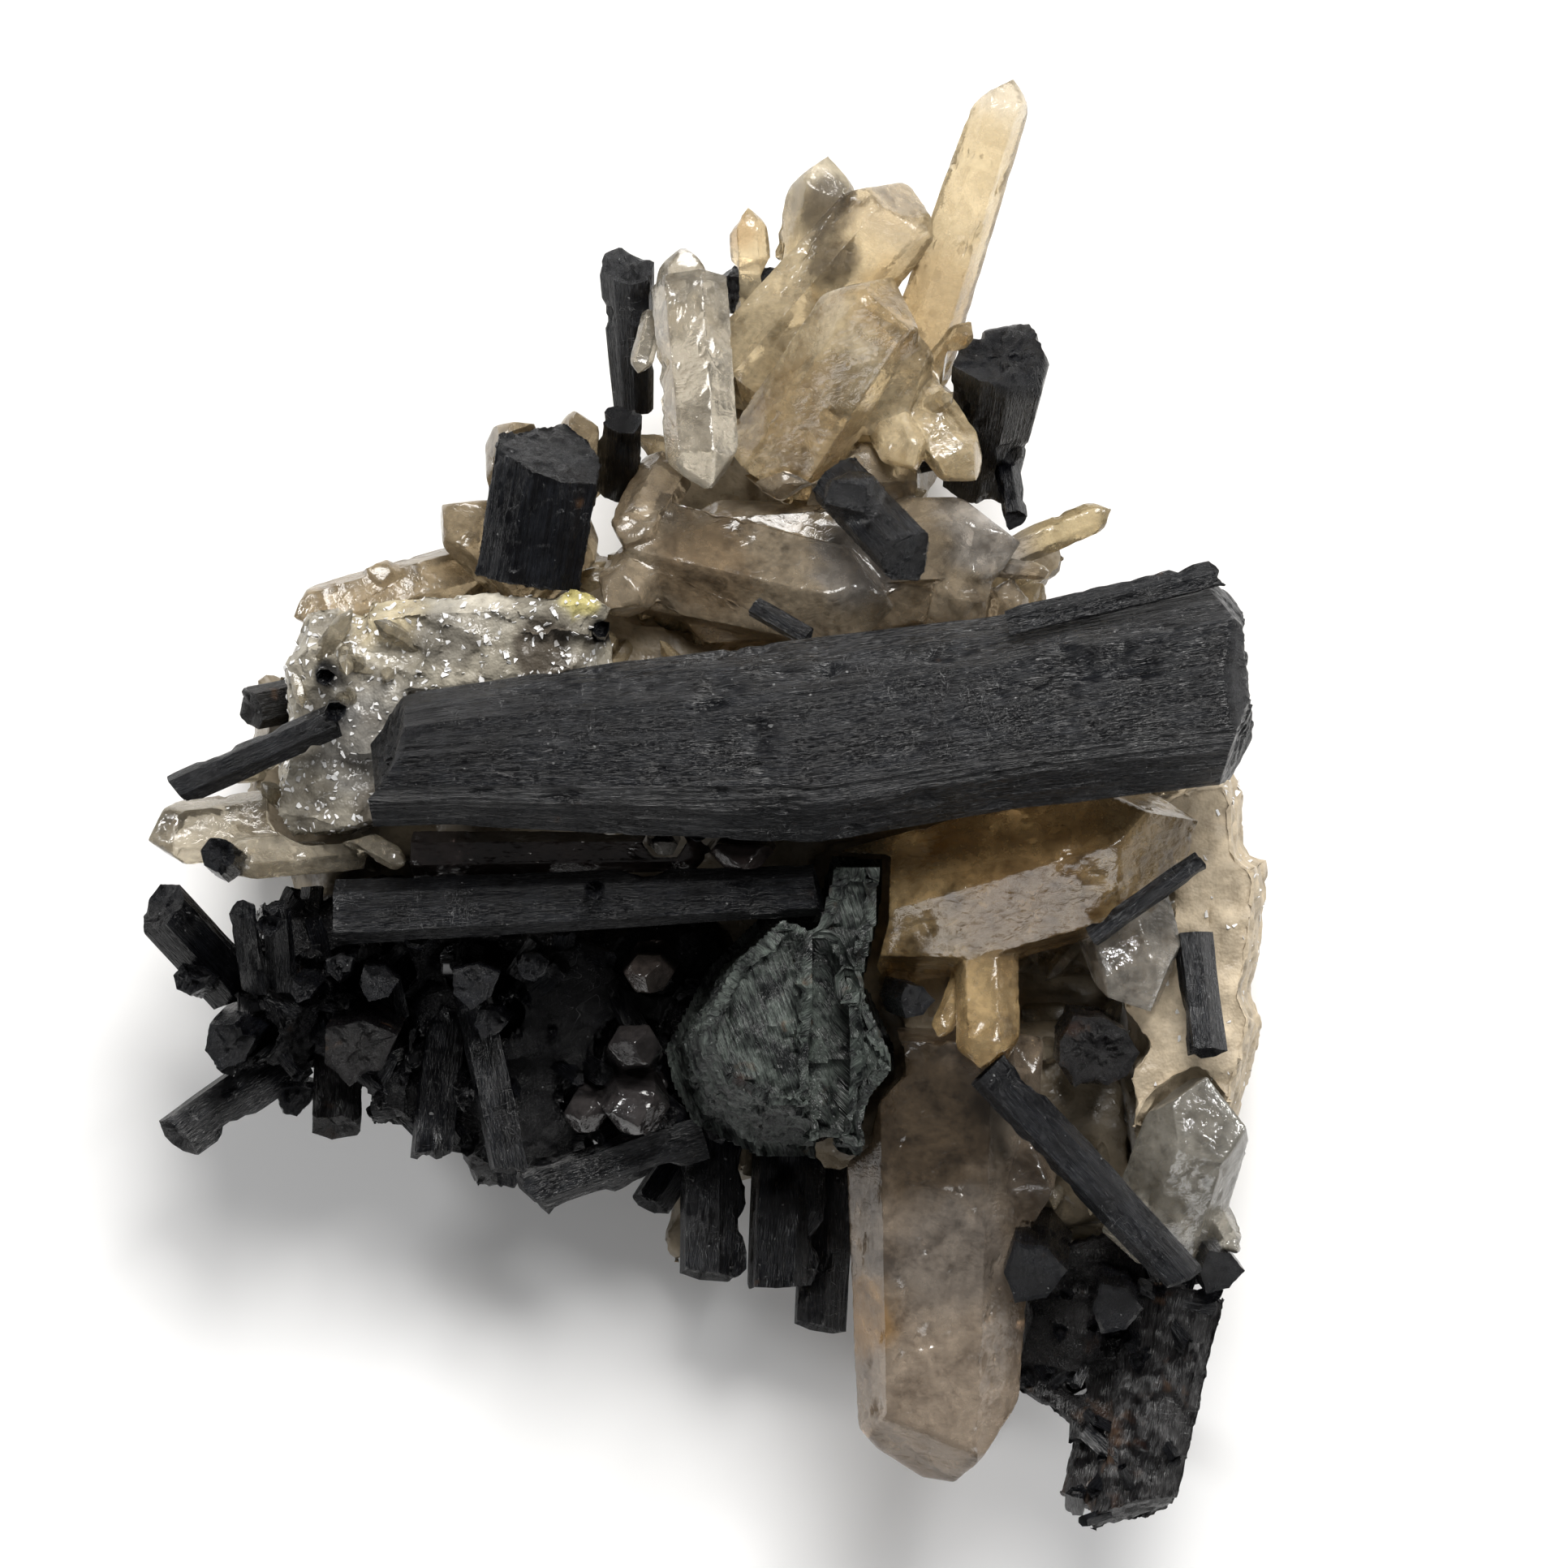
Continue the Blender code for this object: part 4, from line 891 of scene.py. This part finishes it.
STAINS = {
    "top_quartz_spray": (
        Patch(22.6, 54.0, 3.6, (242, 232, 212)), Patch(16.5, 37.0, 5.0, (184, 156, 112), 0.5),
        Patch(9.2, 48.6, 3.4, (236, 226, 204)), Patch(8.6, 44.4, 2.4, (66, 58, 52), 0.8),
        Patch(2.2, 43.0, 1.6, (196, 160, 112), 0.5), Patch(9.2, 40.4, 2.2, (58, 46, 36), 0.75),
        Patch(13.6, 44.0, 2.6, (228, 210, 178)), Patch(13.6, 37.4, 2.8, (206, 178, 130), 0.5),
        Patch(7.0, 28.0, 5.0, (196, 166, 118), 0.5),
    ),
    "centre_quartz": (
        Patch(11.0, 18.2, 3.4, (158, 158, 160), 0.6), Patch(21.0, 20.6, 3.8, (204, 202, 200), 0.6),
        Patch(0.0, 18.0, 4.0, (150, 124, 92), 0.6), Patch(27.0, 20.8, 3.6, (222, 204, 160), 0.7),
    ),
    "lower_quartz_point": (
        Patch(16.0, -24.0, 6.5, (92, 76, 56), 0.85), Patch(18.0, -33.5, 5.0, (150, 142, 134), 0.7),
        Patch(18.0, -44.5, 7.5, (190, 174, 156), 0.6), Patch(11.0, -38.0, 3.0, (190, 148, 90), 0.8),
    ),
    "right_tan_quartz": (
        Patch(22.0, -1.0, 8.0, (198, 160, 106), 0.7), Patch(24.0, -9.0, 5.0, (150, 122, 86), 0.6),
    ),
}

for node, (material, slot, colour, edge) in QUARTZ.items():
    mesh = refined(node + "_crystals", node, edge)
    points, normals = coordinates(mesh), directions(mesh)
    seed = seeded(node).randrange(10000)
    move_to(mesh, points - normals * quartz_relief(points, seed)[:, None])
    store(mesh, "tone", "FLOAT_COLOR", painted(points, srgb(*colour), STAINS.get(node, ()), 0.16, seed))
    piece_of(node + "_crystals", mesh, material, slot, node, crease=32)


# Small crystals and flakes scattered over the stone between the large crystals

def spots_on(pieces, count, rng, reach, lean=0.25):
    """Seeded points on the upward sides of pieces inside a rectangle, with their directions."""
    places, facings, areas = [], [], []
    for piece in pieces:
        mesh = bpy.data.objects[piece].data
        centre = np.empty(len(mesh.polygons) * 3, np.float32)
        mesh.polygons.foreach_get("center", centre)
        facing = np.empty(len(mesh.polygons) * 3, np.float32)
        mesh.polygons.foreach_get("normal", facing)
        area = np.empty(len(mesh.polygons), np.float32)
        mesh.polygons.foreach_get("area", area)
        places.append(centre.reshape(-1, 3).astype(float) / MM - ORIGIN)
        facings.append(facing.reshape(-1, 3).astype(float))
        areas.append(area)
    place, facing, area = np.concatenate(places), np.concatenate(facings), np.concatenate(areas)
    left, bottom, right, top = reach
    fit = (facing[:, 2] > lean) & (place[:, 2] > LOWEST_SPOT)
    fit &= (place[:, 0] > left) & (place[:, 0] < right) & (place[:, 1] > bottom) & (place[:, 1] < top)
    chosen = rng.choices(list(np.flatnonzero(fit)), weights=list(area[fit]), k=count)
    return [(place[i], facing[i]) for i in chosen]


def loose(name, surface, material, slot, shade=(1, 1, 1), crease=38):
    """A finished piece that stands for no solid."""
    mesh = mesh_from(name, surface)
    store(mesh, "crystal", "FLOAT_VECTOR", surface.crystal)
    store(mesh, "tone", "FLOAT_COLOR", painted(surface.points, shade))
    piece_of(name, mesh, material, slot, crease=crease)


def small_schorls(name, pieces, count, reach, widths, lengths):
    """Small black prisms standing out of the stone every way."""
    rng = seeded(name)
    prisms = []
    for place, facing in spots_on(pieces, count, rng, reach):
        width = rng.uniform(*widths)
        along = Vector(facing) + Vector([rng.uniform(-0.8, 0.8) for _ in range(3)])
        along.normalize()
        foot = Vector(place) - along * width
        tip = Vector(place) + along * rng.uniform(*lengths)
        tilt = (rng.uniform(-16, 16), rng.uniform(-16, 16))
        prisms.append(Prism(tuple(foot), tuple(tip), width, roll=rng.uniform(0, 60), tilt=tilt, sides=6))
    surfaces = [prism_surface(prism, SMALL_STEP, SMALL_GROOVE) for prism in prisms]
    loose(name, joined(surfaces), BLACK, "black_schorl")


def quartz_point(place, along, width, length, rng):
    """A small six-sided quartz crystal with its point, in small triangles."""
    turned = np.array(standing(place, place + along, rng.uniform(0, 60)))
    ring = [(math.cos(math.tau * i / 6), math.sin(math.tau * i / 6)) for i in range(6)]
    half = width / 2
    levels = ((-width, half), (length - 0.75 * width, half * 0.94), (length, half * 0.08))
    points = [(x * r, y * r, z) for z, r in levels for x, y in ring]
    points += [(0.0, 0.0, levels[0][0]), (0.0, 0.0, length + 0.02)]
    triangles = []
    for i in range(6):
        j = (i + 1) % 6
        for low, high in ((0, 6), (6, 12)):
            triangles += [(low + i, low + j, high + j), (low + i, high + j, high + i)]
        triangles += [(j, i, 18), (12 + i, 12 + j, 19)]
    points, triangles = split_long(np.array(points), np.array(triangles), 0.9)
    points = smoothed(points, triangles, 0.25)
    points = points @ turned[:3, :3].T + turned[:3, 3]
    points -= 0.06 * soft_noise(points, 0.7, 3)[:, None]
    return Surface(points, [triangles], points)


def small_quartzes(name, pieces, count, reach, widths, material, slot, shade):
    """Small quartz points between the large ones."""
    rng = seeded(name)
    crystals = []
    for place, facing in spots_on(pieces, count, rng, reach):
        width = rng.uniform(*widths)
        along = Vector(facing) + Vector([rng.uniform(-0.9, 0.9) for _ in range(3)])
        crystals.append(quartz_point(
            Vector(place), along.normalized(), width, width * rng.uniform(0.9, 2.2), rng))
    loose(name, joined(crystals), material, slot, srgb(*shade), crease=25)


def flakes(name, pieces, count, reach, sizes, material, slot):
    """Thin bright mica scales that lie on the stone, each a little raised at one side."""
    rng = seeded(name)
    scales = []
    for place, facing in spots_on(pieces, count, rng, reach, lean=0.1):
        size = rng.uniform(*sizes)
        along = (Vector(facing) + Vector([rng.uniform(-0.45, 0.45) for _ in range(3)])).normalized()
        foot, tip = Vector(place) + along * 0.02, Vector(place) + along
        turned = np.array(standing(foot, tip, rng.uniform(0, 360)))
        ring = [(math.cos(a), math.sin(a)) for a in sorted(rng.uniform(0, math.tau) for _ in range(5))]
        points = [(x * size, y * size * 0.7, z) for z in (0.0, 0.06) for x, y in ring]
        tops = [(5, 6, 7), (5, 7, 8), (5, 8, 9), (0, 2, 1), (0, 3, 2), (0, 4, 3)]
        for i in range(5):
            j = (i + 1) % 5
            tops += [(i, j, 5 + j), (i, 5 + j, 5 + i)]
        points = np.array(points) @ turned[:3, :3].T + turned[:3, 3]
        scales.append(Surface(points, [np.array(tops)], points))
    loose(name, joined(scales), material, slot, crease=20)


# Black knobs that the photograph shows one by one: foot, tip, width and roll

KNOBS = (
    ((-0.8, -1.5, 28.0), (-0.6, -1.7, 36.8), 2.6, 6.0),
    ((-3.8, -2.6, 27.0), (-3.4, -2.8, 33.0), 1.8, 3.0),
    ((27.4, -43.5, 6.0), (27.0, -42.6, 15.5), 4.2, 8.0),
    ((-8.4, -6.3, 28.0), (-8.3, -6.2, 34.2), 1.9, 20.0),
    ((-35.6, -4.4, 24.0), (-36.2, -3.6, 30.0), 3.4, 14.0),
    ((-27.6, 7.2, 27.0), (-27.4, 6.9, 34.2), 2.0, 22.0),
    ((-28.4, 9.6, 24.0), (-28.3, 9.5, 31.0), 1.7, 10.0),
    ((-8.0, 12.6, 24.0), (-7.8, 13.0, 34.0), 1.6, 40.0),
    ((-37.8, -13.2, 18.0), (-38.4, -12.9, 25.5), 3.2, 12.0),
    ((-21.8, -9.8, 20.0), (-21.6, -9.6, 27.6), 2.7, 33.0),
    ((-13.2, -11.6, 18.0), (-13.0, -12.0, 26.6), 2.8, 18.0),
    ((-32.4, -8.8, 20.0), (-32.6, -8.9, 27.2), 2.2, 26.0),
    ((-30.6, -21.4, 12.0), (-31.0, -22.0, 19.6), 3.2, 28.0),
)
knob_prisms = [
    Prism(foot, tip, width, roll=roll, tilt=(8, -6), sides=7, chips=3, rough=0.9)
    for foot, tip, width, roll in KNOBS
]
loose(
    "schorl_knobs", joined([prism_surface(knob, KNOB_STEP, KNOB_GROOVE) for knob in knob_prisms]),
    BLACK, "black_schorl")

FLAKE = stone_material("mica flake", 0.08, 0.25, 900.0, 0.0, 0.2)
small_schorls(
    "small_schorls_in_mass", ["schorl_mass_rock"], 130, (-42, -30, 4, -5), (0.9, 2.2), (0.6, 3.0))
small_schorls(
    "small_schorls_at_right", ["lower_right_schorl_rock", "quartz_matrix_rock"], 36,
    (20, -55, 40, -34), (0.8, 1.9), (0.5, 2.2))
small_schorls(
    "small_schorls_above", ["quartz_matrix_rock"], 14, (-24, 12, 24, 36), (0.9, 1.8), (1.0, 3.0))
small_quartzes(
    "small_quartzes_above", ["quartz_matrix_rock"], 110, (-32, 10, 30, 42), (1.0, 2.6),
    HONEY, "honey_quartz", (206, 188, 154))
small_quartzes(
    "small_quartzes_right", ["quartz_matrix_rock"], 60, (18, -36, 42, 6),
    (0.9, 2.2), PALE, "pale_quartz", (198, 186, 164))
small_quartzes(
    "small_quartzes_left", ["quartz_matrix_rock", "mica_quartz_ledge_rock"], 30, (-34, -6, -22, 14),
    (0.8, 1.8), PALE, "pale_quartz", (196, 186, 164))
flakes(
    "mica_flakes_on_ledge", ["mica_quartz_ledge_rock"], 700, (-34, -6, -4, 22), (0.12, 0.36),
    FLAKE, "mica_quartz")
flakes(
    "mica_flakes_on_edge", ["feldspar_edge_rock"], 120, (26, -40, 46, 10), (0.12, 0.36),
    FLAKE, "mica_quartz")

# The floor, the light and the camera

floor_mesh = bpy.data.meshes.new("floor")
floor_corners = [(x * FLOOR_HALF, y * FLOOR_HALF, 0.0) for x, y in ((-1, -1), (1, -1), (1, 1), (-1, 1))]
floor_mesh.from_pydata(floor_corners, [], [(0, 1, 2, 3)])
floor = bpy.data.objects.new("floor", floor_mesh)
bpy.context.scene.collection.objects.link(floor)
floor_look = Tree("floor")
floor_look.put(Base_Color=(0.94, 0.94, 0.94, 1), Roughness=0.9)
floor_mesh.materials.append(floor_look.material)


def area_light(name, place, size, power, colour=(1, 1, 1)):
    """A round lamp that shines at the specimen."""
    light = bpy.data.lights.new(name, "AREA")
    light.shape = "DISK"
    light.size = size
    light.energy = power
    light.color = colour
    made = bpy.data.objects.new(name, light)
    bpy.context.scene.collection.objects.link(made)
    made.location = place
    made.rotation_euler = (Vector((0, 0, 0.02)) - Vector(place)).to_track_quat("-Z", "Y").to_euler()


area_light("key", (0.12, 0.58, 0.78), 0.55, 12.5, (1.0, 0.985, 0.96))
area_light("left kicker", (-0.60, 0.30, 0.45), 0.12, 1.8)
area_light("right kicker", (0.62, 0.25, 0.50), 0.12, 1.6)
area_light("low fill", (0.05, -0.85, 0.70), 0.5, 2.2)

world = bpy.data.worlds.new("studio")
bpy.context.scene.world = world
world.use_nodes = True
world.node_tree.nodes["Background"].inputs["Color"].default_value = (1.0, 1.0, 1.0, 1)
world.node_tree.nodes["Background"].inputs["Strength"].default_value = STUDIO_LIGHT

camera = bpy.data.objects.new("camera", bpy.data.cameras.new("camera"))
bpy.context.scene.collection.objects.link(camera)
camera.location = (np.array((*VIEW_MIDDLE, CAMERA_HEIGHT + SUBJECT_HEIGHT)) + ORIGIN) * MM
camera.data.sensor_width = SENSOR
camera.data.lens = SENSOR * CAMERA_HEIGHT / VIEW_WIDTH
camera.data.clip_end = 10.0
bpy.context.scene.camera = camera
bpy.context.scene.view_settings.view_transform = "Standard"

# Few light paths are enough for cloudy quartz over black stone

paths = bpy.context.scene.cycles
paths.max_bounces = 6
paths.transmission_bounces = 5
paths.diffuse_bounces = 2
paths.glossy_bounces = 2
